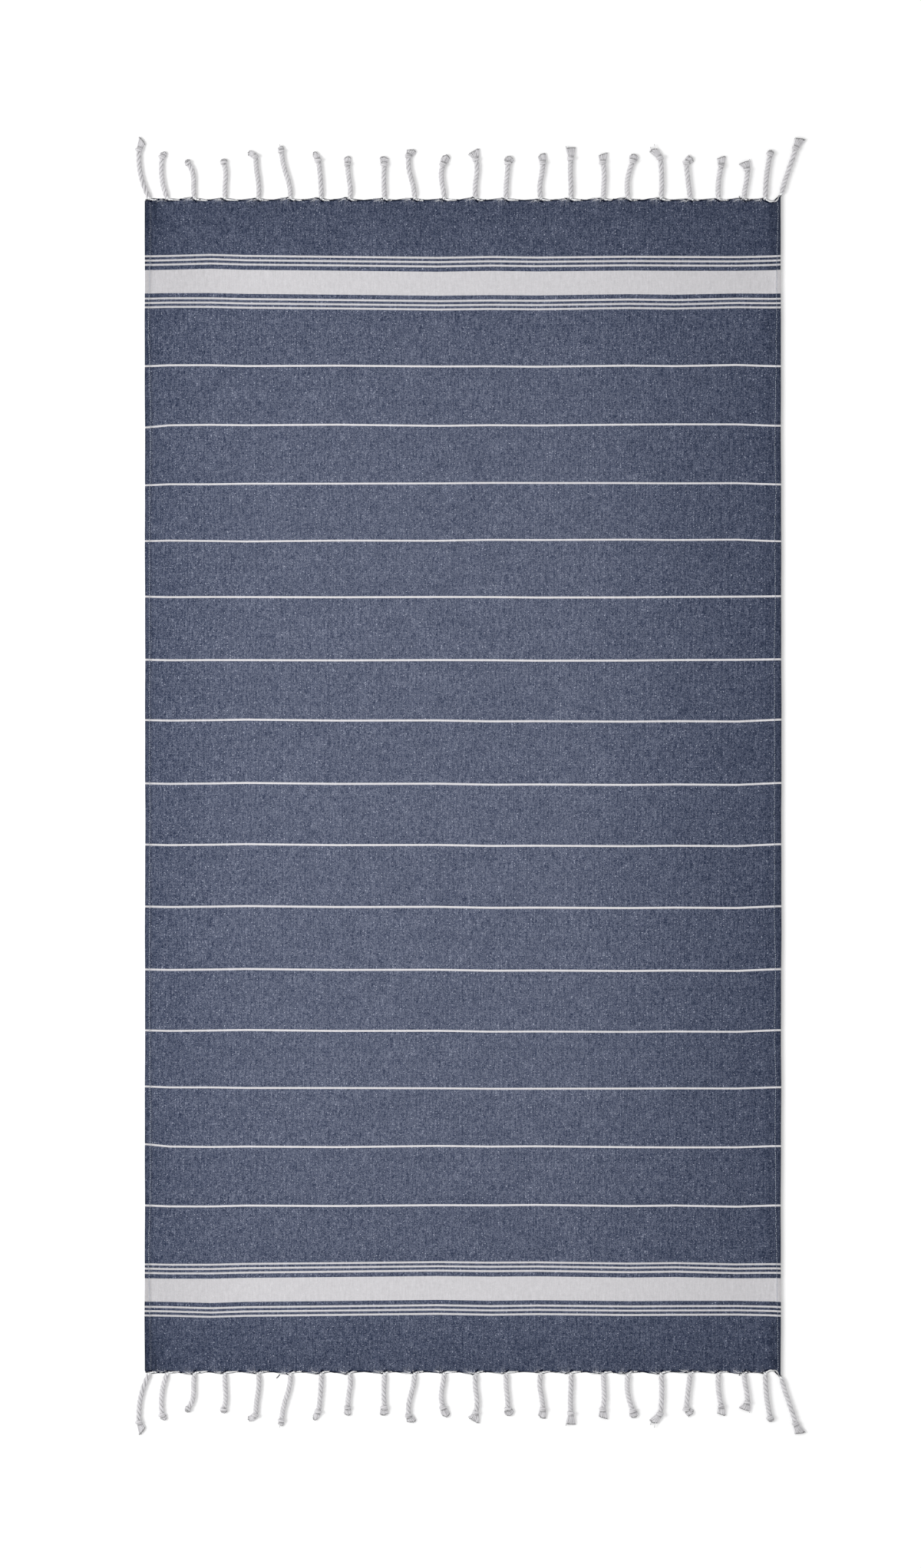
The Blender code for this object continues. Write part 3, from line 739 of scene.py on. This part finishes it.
def make_cloth(material):
    """The section carried along the rows, which are closer together towards each end, and whose ends
    follow the drawn-up line."""
    inside = np.linspace(0, HALF_LENGTH - ROWS_NEAR_END[-1] - ROW_SPACE, HALF_ROWS)
    upper = np.concatenate((inside, HALF_LENGTH - ROWS_NEAR_END[::-1]))
    x, row = np.meshgrid(section[:, 0], np.concatenate((-upper[:0:-1], upper)))
    out = HALF_LENGTH - np.abs(row)
    y = row + np.sign(row) * end_offset(x) * raised_cosine(out, END_BLEND)
    flat = np.clip((HALF_WIDTH - np.abs(x) - LEVEL_BESIDE) / RISES_OVER, 0, 1)
    z = section[:, 1] + cloth_rise(x, y) * flat + side_lift(x)
    drawn = drawn_up(x, out)
    within = np.clip(CORNER_ROUND - (x + HALF_WIDTH), 0, CORNER_ROUND)
    rounded = CORNER_ROUND - np.sqrt(CORNER_ROUND ** 2 - within ** 2)
    y = y - np.sign(row) * rounded * raised_cosine(out, 2 * CORNER_ROUND)
    x = x + hem_shift(x, y) + edge_sway(x, y)
    points = np.stack((x + CLOTH_MIDDLE, y, z), 2).reshape(-1, 3)
    quads = grid_faces(*x.shape)
    place = np.stack((np.broadcast_to(across_run, x.shape), loom_length(x, y)), 2).reshape(-1, 2)
    piece = add_piece("towel_cloth", (points, [quads], place[quads.ravel()]), material, {"drawn": drawn})
    thickness = piece.modifiers.new("thickness", "SOLIDIFY")
    thickness.thickness = SHEET
    thickness.offset = 0
    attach(piece, "root")
    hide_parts("cloth")
    return piece


cloth = make_cloth(chambray)
print("cloth:", len(cloth.data.polygons), "quads before its thickness")


# %% [markdown]
# ## Stitches along the hems
#
# Each hem is held by a lock stitch in pale thread: a row of short floats that dip into the cloth at
# both ends. One stitch is a rod on an arched path, and all of them are made in one call.

# %% Cotton for cords, yarns and thread
def make_cotton(name, colour, yarns_round, lay, roughness=0.85, sheen=0.04, shine=0.2):
    """Twisted cotton: yarn lines wind round the rod, one turn in each lay, and each rod has its tone.
    Painted shade darkens it in its hollows and at its cut tips, for the shade between the fibres there, and
    on stitches sunk into the cloth."""
    material, shader, across, along = mapped_material(name, roughness, sheen, shine)
    line = (across * yarns_round + along / lay).wave()
    fluff = across.with_noise(along, (5.0, 900.0), detail=3.0)
    amount = 0.86 + line * 0.10 + (fluff - 0.5) * 0.14 + (carried(across, "tone") - 0.5) * 0.12
    amount = amount * (1 - carried(across, "tip") * 0.74) * (1 - carried(across, "hollow_shade") * 0.38)
    plain = across.node("ShaderNodeCombineXYZ", None, colour)
    finish_shader(shader, plain.times(amount), line * 0.7 + fluff * 0.6, 0.12 * MM)
    return material


ply_cotton = make_cotton("ply_cotton", (0.655, 0.646, 0.664), yarns_round=6, lay=5 * MM)
yarn_cotton = make_cotton("yarn_cotton", (0.740, 0.730, 0.750), yarns_round=2, lay=1.6 * MM)
bare_warp = make_cotton("bare_warp", (0.98, 0.985, 1.0), yarns_round=2, lay=1.6 * MM)
seam_thread = make_cotton("seam_thread", (0.44, 0.48, 0.56), yarns_round=2, lay=1.2 * MM)
# The bunched weft is matt, and its dark navy is painted nearly black with the shade between its yarns.
shaded_indigo_yarn = make_cotton("shaded_indigo_yarn", (0.004, 0.007, 0.022), yarns_round=2, lay=1.6 * MM,
                          roughness=1.0, sheen=0.0, shine=0.03)

# %% Stitches
STITCH_EVERY, STITCH_LONG, THREAD = 3.4 * MM, 2.4 * MM, 0.40 * MM
STITCH_STATIONS, STITCH_SIDES = 5, 5
STITCHES_END = 5 * MM           # the rows stop this far from the mean end
UNEVEN_ALONG, UNEVEN_ACROSS = 0.25 * MM, 0.35 * MM
STITCH_ARCH = 0.75, 30          # height of its middle and drop of its ends, in thread radii
SUNK_SHADE, SUNK_FROM, SUNK_OVER = 0.75, 95 * MM, 25 * MM     # how much painted shade dims them, and how far from the mean end


def make_stitches(material):
    """Short arched rods in two rows. Those near the left corners are drawn in deep, and painted shade dims
    them.
    """
    chance = np.random.default_rng(5)
    middle = np.arange(-HALF_LENGTH + STITCHES_END, HALF_LENGTH - STITCHES_END, STITCH_EVERY)
    middle = np.concatenate((middle, middle))[:, None]
    count = len(middle)
    seam = np.repeat((-HALF_WIDTH + HEM_LEFT, HALF_WIDTH - HEM_RIGHT), count // 2)[:, None]
    along = np.linspace(-0.5, 0.5, STITCH_STATIONS)
    y = middle + chance.normal(0, UNEVEN_ALONG, (count, 1)) + along * STITCH_LONG
    slanted = chance.normal(0, UNEVEN_ACROSS, (count, 1)) * (1 + along)
    x = seam + hem_shift(seam, y) + edge_sway(seam, y) + slanted
    arch = THREAD * (STITCH_ARCH[0] - STITCH_ARCH[1] * along ** 4)
    z = SEAM_HEIGHT + SHEET / 2 + arch + side_lift(seam)
    paths = np.stack((x + CLOTH_MIDDLE, y, z + 0 * x), 2)
    shape, values = rods(paths, THREAD, STITCH_SIDES, chance)
    sunk_shade = (seam < 0) * SUNK_SHADE * smooth_step((np.abs(middle) - HALF_LENGTH + SUNK_FROM) / SUNK_OVER)
    values["tip"] = np.repeat(sunk_shade, STITCH_STATIONS * STITCH_SIDES)
    piece = add_piece("hem_stitches", shape, material, values)
    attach(piece, "root")
    print(count, "stitches of", len(piece.data.polygons) // count, "faces")
    return piece


stitches = make_stitches(seam_thread)

# %% [markdown]
# ## The laid cords
#
# A cord is three plies wound round each other. Each ply is a rod whose middle runs on a helix about
# the cord's own line: out from that line by a fixed share of the cord's radius, turning once in each
# pitch. The lines and the hand are the solid's. Cords are laid by hand, so each has a pitch of its
# own, and only their mean is the solid's 19 mm. The two ends of the towel are mirror images, so each
# piece is worked out once and turned over for the other end.

# %% A pair of pieces, one for each end
def both_ends(name, shape, material, values, replaced=False):
    """A piece at the top end, and its mirror image at the bottom end."""
    pair = []
    for end, turned in (("top", shape), ("bottom", mirrored(*shape))):
        piece = add_piece(name + "_" + end, turned, material, values)
        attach(piece, "root")
        if replaced:
            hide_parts("fringe_" + end)
        pair.append(piece)
    print(name, "at each end:", len(piece.data.polygons), "faces")
    return pair


# %% Cords
PLIES, PLY_SIDES, CORD_STATIONS = 3, 9, 60
PLY_AWAY, PLY_SHARE = 0.54, 0.49    # distance from the middle and radius, as shares of the cord's
ROOT_SWELL, ROOT_TAPER, ROOT_INSIDE = 0.45, 8 * MM, 0.4 * MM
ROOT_LIFT, ROOT_FALL = 0.9 * MM, 6 * MM
NECK_DRAWN = 0.08                   # how much thinner the cord is under its knot
NECK_LONG, NECK_TAPER = KNOT_LENGTH * 0.55, 3 * MM


def cord_middles(out):
    """The middle line of every cord at distances out, resting on the floor but for its first
    millimetres, which lie on the cloth; and its radius as a share of the cord's, less at both ends."""
    start = end_offset(CORDS["root"]) - ROOT_INSIDE
    beyond = out.reshape(CORD_COUNT, -1)
    swell = ROOT_SWELL + (1 - ROOT_SWELL) * smooth_step((beyond - start) / ROOT_TAPER)
    swell = swell * (1 - NECK_DRAWN * smooth_step((beyond - CORDS["reach"] + NECK_LONG) / NECK_TAPER))
    lift = ROOT_LIFT * (1 - smooth_step((beyond - start) / ROOT_FALL))
    height = CORD_RADIUS * (PLY_AWAY + PLY_SHARE * 1.05) * swell + lift
    return placed(cord_line(out), out, height.reshape(out.shape)), swell.reshape(out.shape)


def hollow_shade_share(points, middles, deep, proud):
    """The mask of painted shade in hollows: 1 for points within the deep distance of their middle line, 0
    past the proud one, smooth between.
    """
    distance = np.linalg.norm(points.reshape(*middles.shape[:2], -1, 3) - middles[:, :, None], axis=3)
    return 1 - smooth_step((distance - deep) / (proud - deep))


def make_cords(material):
    """ply = line + radius * swell * (cos(turn) * top + sin(turn) * side), three to a cord, from inside
    the gathered warp into the knot."""
    chance = np.random.default_rng(11)
    start = end_offset(CORDS["root"]) - ROOT_INSIDE
    stop = CORDS["reach"] + np.minimum(KNOT_LENGTH, CORDS["brush"]) * 0.3
    middle, swell = cord_middles(start + (stop - start) * np.linspace(0, 1, CORD_STATIONS))
    tangent, run = along_paths(middle)
    side, top = cross_axes(tangent)
    wander = 0.5 * np.sin(run / (9 * MM) + chance.uniform(0, 6, (CORD_COUNT, 1)))
    turn = 2 * math.pi * run / CORDS["pitch"] + wander + chance.uniform(0, 6, (CORD_COUNT, 1))
    turn = turn[:, None] + (np.arange(PLIES) * 2 * math.pi / PLIES)[:, None]
    away = CORD_RADIUS * PLY_AWAY * swell[:, None, :, None]
    round_line = np.cos(turn)[..., None] * top[:, None] + np.sin(turn)[..., None] * side[:, None]
    paths = middle[:, None] + away * round_line
    uneven = 1 + 0.03 * np.sin(turn * 1.7) + 0.02 * np.sin(turn * 4.1)
    radii = CORD_RADIUS * PLY_SHARE * swell[:, None] * uneven
    shape, values = rods(paths, radii, PLY_SIDES, chance)
    middles = np.repeat(middle, PLIES, axis=0)
    # Painted shade in the grooves between the plies.
    values["hollow_shade"] = hollow_shade_share(shape[0], middles, 0.45 * CORD_RADIUS, 0.92 * CORD_RADIUS)
    return both_ends("laid_cords", shape, material, values, replaced=True)


cords = make_cords(ply_cotton)

# %% [markdown]
# ## Knots and brushes
#
# Each cord ends in an overhand knot pulled tight: from above it shows as fat turns that slant across
# the cord. Beyond it the cut yarns spread. Some brushes stand open like a fan, others close round into
# a ball, and each is cut at its own slant.

# %% Knots
KNOT_STATIONS, KNOT_SIDES, KNOT_TURNS, KNOT_RUN = 36, 8, 1.9, 5.2 * MM
KNOT_SWELL, KNOT_WIDE, KNOT_TALL = 1.36, 1.15, 0.85     # shares of the cord's radius, then of the knot's
TURN_AWAY, TURN_THICK = (0.30, 0.39), (0.17, 0.13)      # of its turns: at their ends, and more between
KNOT_HEIGHT = 0.62 * KNOT_TALL + 0.46                   # its middle above the floor
RIGHT_HANDED = 0.7              # share of the knots that wind this way


def make_knots(material):
    """Two turns round the cord: distance and thickness follow the root of a sine, so that both ends
    tuck into the cord."""
    chance = np.random.default_rng(23)
    share = np.linspace(0, 1, KNOT_STATIONS)
    belly = np.sqrt(np.sin(math.pi * share).clip(0))
    first = chance.uniform(0, 2 * math.pi, (CORD_COUNT, 1))
    hand = np.where(chance.random((CORD_COUNT, 1)) < RIGHT_HANDED, 1, -1)
    turn = first + hand * 2 * math.pi * KNOT_TURNS * share
    size = KNOT_SWELL * CORD_RADIUS * chance.uniform(0.93, 1.07, (CORD_COUNT, 1))
    away = size * (TURN_AWAY[0] + TURN_AWAY[1] * belly)
    slope = (cord_line(CORDS["reach"] + MM) - cord_line(CORDS["reach"] - 3 * MM)) / (4 * MM)
    axis = unit(np.stack((slope, np.ones_like(slope), np.zeros_like(slope)), 2))
    side, top = cross_axes(axis)
    heart = placed(cord_line(CORDS["reach"]) - 0.5 * MM, CORDS["reach"], size * KNOT_HEIGHT)
    middles = heart + axis * ((share - 0.5) * KNOT_RUN)[:, None]
    paths = (middles + side * (KNOT_WIDE * away * np.sin(turn))[..., None]
             + top * (KNOT_TALL * away * np.cos(turn))[..., None])
    radii = size * (TURN_THICK[0] + TURN_THICK[1] * belly)
    shape, values = rods(paths, radii, KNOT_SIDES, chance, upright=axis, flat=1.15)
    # Painted shade where the knot's turns lie against the cord.
    values["hollow_shade"] = hollow_shade_share(shape[0], middles, 0.70 * CORD_RADIUS, 1.25 * CORD_RADIUS)
    return both_ends("cord_knots", shape, material, values)


knots = make_knots(ply_cotton)

# %% Brushes
BRUSH_YARNS, YARN_STATIONS, YARN_SIDES, YARN_RADIUS = 50, 9, 5, 0.50 * MM
GOLDEN_ANGLE = 2.39996          # between two yarns, which fills a disc evenly
CUT_SHADE = 1.1 * MM             # how far painted shade greys a cut tip
CREASE_SHADE = 3.4 * MM               # and how far painted shade darkens the yarns beyond the middle of the knot
FLUFF = 1.12                    # the loose yarns spread a little more than the solid brush
NECK = 3.4 * MM                 # half the width of a brush where it leaves its knot
TRIMMED = 3.0 * MM              # no corner of a slanted cut stands further out than this
RAGGED = 0.50 * MM
# A ball is fully open at 1 / BALL_OPENS of its length, closes by a share of its width, and has its
# outer yarns cut shorter by a share of its length.
BALL_OPENS, BALL_CLOSES, BALL_ROUND = 1.35, 0.30, 0.42
HIGH, FALLS, HALF_TALL = 4.3, 1.7, 2.5      # millimetres: its middle, how far that falls, half its height
STRAYS_ACROSS, STRAYS_UP = 0.35 * MM, 0.25 * MM             # how far a yarn waves from its place
# Single yarns that stand out: the cord, the place across from -1 to 1, and millimetres more.
WISPS = ((5, -0.3, 4.0), (5, 0.2, 2.0), (10, -1.0, 1.5), (14, -1.0, 4.0), (14, -0.1, 2.0), (17, -0.6, 6.0),
         (17, 0.5, 6.5), (4, -0.5, 2.0), (18, -0.8, 2.0), (20, 0.9, 1.5), (9, 0.4, 2.0), (7, 0.3, 1.5))


def make_brushes(material):
    """Yarn ends start as a round bundle and move out to a flat oval: each keeps its place in a disc,
    scaled by a width that grows to the spread, and closes in again by the bulb."""
    chance = np.random.default_rng(31)
    number = np.arange(BRUSH_YARNS)
    radius = np.sqrt((number + 0.5) / BRUSH_YARNS)
    angle = number * GOLDEN_ANGLE + chance.uniform(0, 6, (CORD_COUNT, 1))
    across, high = radius * np.cos(angle), radius * np.sin(angle)
    ragged = chance.normal(0, RAGGED, across.shape)
    for cord, place, extra in WISPS:
        nearest = np.argmin(np.abs(across[cord] - place) + (high[cord] < 0) * 9)
        ragged[cord, nearest] += extra * MM
    bulb, brush = CORDS["bulb"], CORDS["brush"]
    cut = np.minimum(CORDS["slant"] * across / 2, TRIMMED)
    tip = brush + cut - bulb * BALL_ROUND * brush * across ** 2 + ragged
    share = np.linspace(0, 1, YARN_STATIONS)
    out = CORDS["reach"][..., None] + 0.5 * MM + (tip[..., None] - 0.5 * MM) * share
    fan = share ** 0.9
    ball = np.sin(np.minimum(share * BALL_OPENS, 1) * math.pi / 2) * (1 - BALL_CLOSES * share ** 4)
    opening = fan + (ball - fan) * bulb[..., None]
    half_width = NECK + (np.maximum(CORDS["spread"][..., None] * FLUFF / 2, NECK) - NECK) * opening
    middle_x = cord_line(out) + CORDS["skew"][..., None] * share ** 1.5
    wave = chance.uniform(0, 6, across.shape)[..., None]
    sideways = across[..., None] * half_width + STRAYS_ACROSS * share * np.sin(wave + 5 * share)
    slope = ((CORDS["turn"] + CORDS["skew"]) / brush)[..., None]
    x = middle_x + sideways / np.sqrt(1 + slope ** 2)
    out = out - sideways * slope / np.sqrt(1 + slope ** 2)
    height = (HIGH - FALLS * share) * MM + high[..., None] * (HALF_TALL * MM)
    height = height + STRAYS_UP * np.cos(wave + 4 * share)
    radii = YARN_RADIUS * (1 + 0.25 * share)
    paths = placed(x, out, np.maximum(height, radii + 0.05 * MM))
    shape, values = rods(paths, radii, YARN_SIDES, chance)
    run = along_paths(paths)[1]
    # Painted shade at the cut tips, and in the crease just beyond the knot.
    values["tip"] = np.repeat(1 - smooth_step((run[..., -1:] - run) / CUT_SHADE), YARN_SIDES)
    values["hollow_shade"] = np.repeat(1 - smooth_step((run - CREASE_SHADE) / (1.6 * MM)), YARN_SIDES)
    return both_ends("cut_brushes", shape, material, values)


brushes = make_brushes(yarn_cotton)

# %% [markdown]
# ## The gathered warp
#
# Between two cords the bare warp turns sideways and runs along the end of the cloth to the nearest
# root. Yarns from the right lie on top as a white bundle that thickens towards the root. Those from
# the left are half hidden, because the cloth is drawn up over them.

# %% Gathered yarns
RIGHT_YARNS, LEFT_YARNS, GATHER_STATIONS, GATHER_SIDES = 24, 10, 14, 5
BUNDLE = 2.0 * MM                               # width of the white bundle on the right of each root
YARN = 0.42 * MM                                # radius of a gathered yarn
FEED = 4.5 * MM                                 # how far it follows the cord before it goes under
LEFT_FIRST, LEFT_EVERY = 2.0 * MM, 1.6 * MM     # where the yarns from the left begin
UNDER_EDGE = 1.2 * MM                           # how far inside the cloth's end the others begin
LAYERED, LAYER_EVERY = 4, 0.75 * MM             # the bundle's layers
LEAVES, ARRIVES = 0.50, 0.85                    # the part of its path over which it turns up


def bundle_share(x):
    """1 beside each root, on its right, falling to 0 at the length of its bundle."""
    distance = x[..., None] - ROOTS
    falling = 1 - smooth_step((distance - 2 * MM) / BUNDLES)
    return (np.where(distance > -2 * MM, falling, 0) * FULL).max(-1)


def make_gathers(material):
    """Each yarn comes out of the cloth, runs along its end in a lane of its own, and turns up on to the
    cord, whose surface it follows until it goes in among the plies. Its place is a smooth mix of the
    lane and of the cord's surface. Yarns from the left come up through the weft of the hump."""
    chance = np.random.default_rng(43)
    rank = np.concatenate((np.arange(RIGHT_YARNS), np.arange(LEFT_YARNS)))
    from_right = np.arange(RIGHT_YARNS + LEFT_YARNS) < RIGHT_YARNS
    right_reach = 1.5 * MM + rank / RIGHT_YARNS * (CORDS["bundle"] - 1.0 * MM)
    reach = np.where(from_right, right_reach, -LEFT_FIRST - rank * LEFT_EVERY)
    begin = CORDS["root"] + reach + chance.normal(0, 0.5 * MM, (CORD_COUNT, len(rank)))
    begin = np.clip(begin, -HALF_WIDTH + 1.0 * MM, HALF_WIDTH - 1.2 * MM)[..., None]
    share = np.linspace(0, 1, GATHER_STATIONS)

    lane_x = begin + (CORDS["root"][..., None] - begin) * smooth_step((share - 0.08) / 0.72)
    at_edge = end_offset(lane_x)
    beside = chance.random(begin.shape) * BUNDLE * bundle_share(lane_x) - 0.3 * MM
    below_out = at_edge - UNDER_EDGE + (UNDER_EDGE + beside) * smooth_step(share / 0.25)
    layer = (rank * 5 % LAYERED)[:, None] * LAYER_EVERY
    below_z = LAYER_EVERY + layer * smooth_step(share / 0.6)
    deep = chance.uniform(1.2, 4.8, begin.shape) * MM
    over_out = at_edge - 0.2 * MM - deep * (1 - smooth_step(share / 0.65))
    over_z = LAYERS[0] + SHEET / 2 + cloth_rise(lane_x, HALF_LENGTH + over_out) + 0.12 * MM
    right = from_right[:, None]
    lane = placed(lane_x, np.where(right, below_out, over_out), np.where(right, below_z, over_z))

    onto = np.clip((share - 0.55) / 0.45, 0, 1)
    feed_out = end_offset(CORDS["root"])[..., None] + FEED * onto + chance.uniform(-1, 1, begin.shape) * MM
    middle, swell = cord_middles(feed_out)
    low, high = np.where(from_right, -0.7, 1.2), np.where(from_right, 2.0, 3.8)
    angle = (low + (high - low) * chance.random(begin.shape[:2]))[..., None] + 0.5 * onto
    away = CORD_RADIUS * swell * (1.0 - 0.6 * smooth_step((onto - 0.55) / 0.45))
    surface = middle + np.stack((away * np.cos(angle), 0 * away, away * np.sin(angle)), 3)
    paths = lane + (surface - lane) * smooth_step((share - LEAVES) / (ARRIVES - LEAVES))[:, None]
    paths[..., 2] = np.maximum(paths[..., 2], YARN + 0.02 * MM)

    thick = np.where(right, 1, 0.30 + 0.55 * smooth_step((share - 0.3) / 0.6))
    shape, values = rods(paths, YARN * thick, GATHER_SIDES, chance)
    return both_ends("gathered_warp", shape, material, values)


gathers = make_gathers(bare_warp)

# %% Last picks
PICK_STATIONS, PICK_SIDES, KINKS = 520, 5, 170
KINK_OUT, KINK_UP = 0.40 * MM, 0.25 * MM        # how far the yarns wander
# One column for each of the four yarns: its place out from the cloth's edge in millimetres, the share
# of the bundles' width it goes round, its height, how far it goes under the humps, and its radius
# away from the bundles and what it gains there.
PICK_ROWS = np.array((
    (-0.7, 0.1, 0.6, 0.6),
    (0, 0, 0.75, 1.0),
    (0.9, 0.9, 0.7, 0.9),
    (1, 1, 0, 0),
    (0.36, 0.36, 0.16, 0.13),
    (0, 0, 0.10, 0.06),
))
LAST_PICKS = PICK_ROWS.shape[1]


def make_last_picks(material):
    """The last picks of weft work loose: blue yarns that wander along each end of the cloth. Two keep
    to its edge and go under the humps, and two thin ones run over these and round the white bundles."""
    chance = np.random.default_rng(57)
    x = np.linspace(-HALF_WIDTH + 1.5 * MM, HALF_WIDTH - 1.5 * MM, PICK_STATIONS)
    kinks = np.linspace(x[0], x[-1], KINKS)
    wander, lift = (np.stack([np.interp(x, kinks, chance.normal(0, vary, KINKS)) for _ in range(LAST_PICKS)])
                    for vary in (KINK_OUT, KINK_UP))
    share = bundle_share(x)
    edge, outside, height, under, radius, thicker = PICK_ROWS[:, :, None]
    under = under * drawn_up(x, 0)
    z = height * MM + lift + 0.9 * MM * share
    z = z + cloth_rise(x, HALF_LENGTH + 0 * x) - 0.1 * MM - 1.8 * MM * under
    out = end_offset(x) + edge * MM + outside * BUNDLE * share + wander - 1.0 * MM * under
    radii = radius * MM + thicker * MM * smooth_step(share * 2)
    shape, values = rods(placed(x, out, np.maximum(z, 0.45 * MM)), radii, PICK_SIDES, chance)
    return both_ends("last_picks", shape, material, values)


picks = make_last_picks(shaded_indigo_yarn)

# %% Bunched weft at the roots
BUNCH_STATIONS, BUNCH_SIDES, BUNCHED = 9, 5, 0.50 * MM      # and the radius of a bunched yarn
# Where they lie beside a root, in millimetres: how many, their middle place across, how far that
# varies, their place out from the cloth's end, how far that varies, half their length, and height.
# "bundles" is 1 for those that lie at the far end of the white bundle.
BUNCH_COLUMNS = ("count", "x", "vary_x", "out", "vary_out", "half", "z", "bundles")
BUNCH_ROWS = np.array((
    # The arcs under the root's foot also stand in for the shade in the gap there, where the bundle turns
    # into the cord.
    (5, 0.6, 1.2, -1.9, 0.6, 2.2, 2.2, 0),
    (3, -5.0, 2.6, -0.2, 0.9, 2.2, 1.5, 0),
    (3, 5.5, 3.0, 0.2, 0.9, 1.4, 2.6, 0),
    (4, 0.5, 1.6, -0.2, 0.5, 2.0, 1.3, 1),
))


def make_bunches(material):
    """Where the warp is drawn into a root, a few turns of blue weft bunch up: short arcs under its foot
    and on both sides, each with a place, length and heading of its own."""
    chance = np.random.default_rng(71)
    rows = np.repeat(BUNCH_ROWS, BUNCH_ROWS[:, 0].astype(int), axis=0)
    bunch = dict(zip(BUNCH_COLUMNS, rows.T * MM))
    shape = (CORD_COUNT, len(rows))
    middle_x = CORDS["root"] + bunch["x"] + bunch["vary_x"] * chance.uniform(-1, 1, shape)
    middle_x = middle_x + bunch["bundles"] / MM * CORDS["bundle"]
    half = bunch["half"] * chance.uniform(0.6, 1.4, shape)
    heading = chance.normal(0, 0.45, shape)
    share = np.linspace(-1, 1, BUNCH_STATIONS)
    x = middle_x[..., None] + (half * np.cos(heading))[..., None] * share
    x = np.clip(x, -HALF_WIDTH + 0.6 * MM, HALF_WIDTH - 2.2 * MM)
    start = (bunch["out"] + bunch["vary_out"] * chance.uniform(-1, 1, shape))[..., None]
    out = end_offset(x) + start + (half * np.sin(heading))[..., None] * share
    top = (bunch["z"] * chance.uniform(0.7, 1.2, shape))[..., None]
    z = np.maximum(top * (1 - 0.45 * share ** 2), BUNCHED) + cloth_rise(x, HALF_LENGTH + 0 * x)
    shape, values = rods(placed(x, out, z), BUNCHED, BUNCH_SIDES, chance)
    return both_ends("bunched_weft", shape, material, values)


bunches = make_bunches(shaded_indigo_yarn)

# %% One loose end of weft
LOOSE_X, LOOSE_OUT = (-284.3 * MM, -289.6 * MM), (2.6 * MM, 8.4 * MM)      # from and to
LOOSE_BOW, LOOSE_HEIGHT, LOOSE_RADIUS = 0.5 * MM, 0.7 * MM, 0.62 * MM
LOOSE_STATIONS, LOOSE_SIDES = 9, 6


def make_loose_end(material):
    """A short end of blue yarn that lies on the floor beyond the bottom end: a line with a slight bow."""
    share = np.linspace(0, 1, LOOSE_STATIONS)
    x = LOOSE_X[0] + (LOOSE_X[1] - LOOSE_X[0]) * share
    out = LOOSE_OUT[0] + (LOOSE_OUT[1] - LOOSE_OUT[0]) * share + LOOSE_BOW * np.sin(math.pi * share)
    shape, values = rods(placed(x, out, LOOSE_HEIGHT) * (1, -1, 1), LOOSE_RADIUS, LOOSE_SIDES)
    piece = add_piece("loose_end", shape, material, values)
    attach(piece, "root")
    return piece


loose_end = make_loose_end(shaded_indigo_yarn)

# %% [markdown]
# ## Floor and light
#
# The towel lies on white paper under soft light from the left, half way up, which throws a soft
# shadow one cord wide to the right of each cord. A big area light makes that shadow, and an even white
# sky fills it to about half, as the white walls of a studio do.

# %% Floor
PAPER_GLOW = 0.035              # light through the paper from below, which thins the shadows
PAPER_WHITE = 0.95
PAPER_HALF = 20                 # metres


def make_floor():
    """White paper, far bigger than the picture."""
    x, y = np.meshgrid(*[np.linspace(-PAPER_HALF, PAPER_HALF, 9)] * 2)
    points = np.stack((x, y, 0 * x), 2).reshape(-1, 3)
    quads = grid_faces(*x.shape)
    material, _ = new_shader("white_paper", {
        "Base Color": (PAPER_WHITE, PAPER_WHITE, PAPER_WHITE, 1), "Roughness": 1.0,
        "Specular IOR Level": 0.0, "Emission Color": (1, 1, 1, 1), "Emission Strength": PAPER_GLOW})
    floor = add_piece("floor", (points, [quads], points[quads.ravel(), :2]), material)


make_floor()

# %% Lights
SKY = 0.79
KEY_PLACE, KEY_SIZE, KEY_POWER = (-3.4, 0.0, 3.6), (2.2, 2.2), 135.0

world = bpy.data.worlds.new("sky")
world.use_nodes = True
background = world.node_tree.nodes["Background"]
background.inputs["Color"].default_value = (1, 1, 1, 1)
background.inputs["Strength"].default_value = SKY
bpy.context.scene.world = world

key_data = bpy.data.lights.new("key", "AREA")
key_data.shape = "RECTANGLE"
key_data.size, key_data.size_y = KEY_SIZE
key_data.energy = KEY_POWER
key = add_object("key", key_data)
key.location = KEY_PLACE
key.rotation_euler = (0, -math.atan2(-KEY_PLACE[0], KEY_PLACE[2]), 0)
bpy.context.scene.view_settings.view_transform = "Standard"
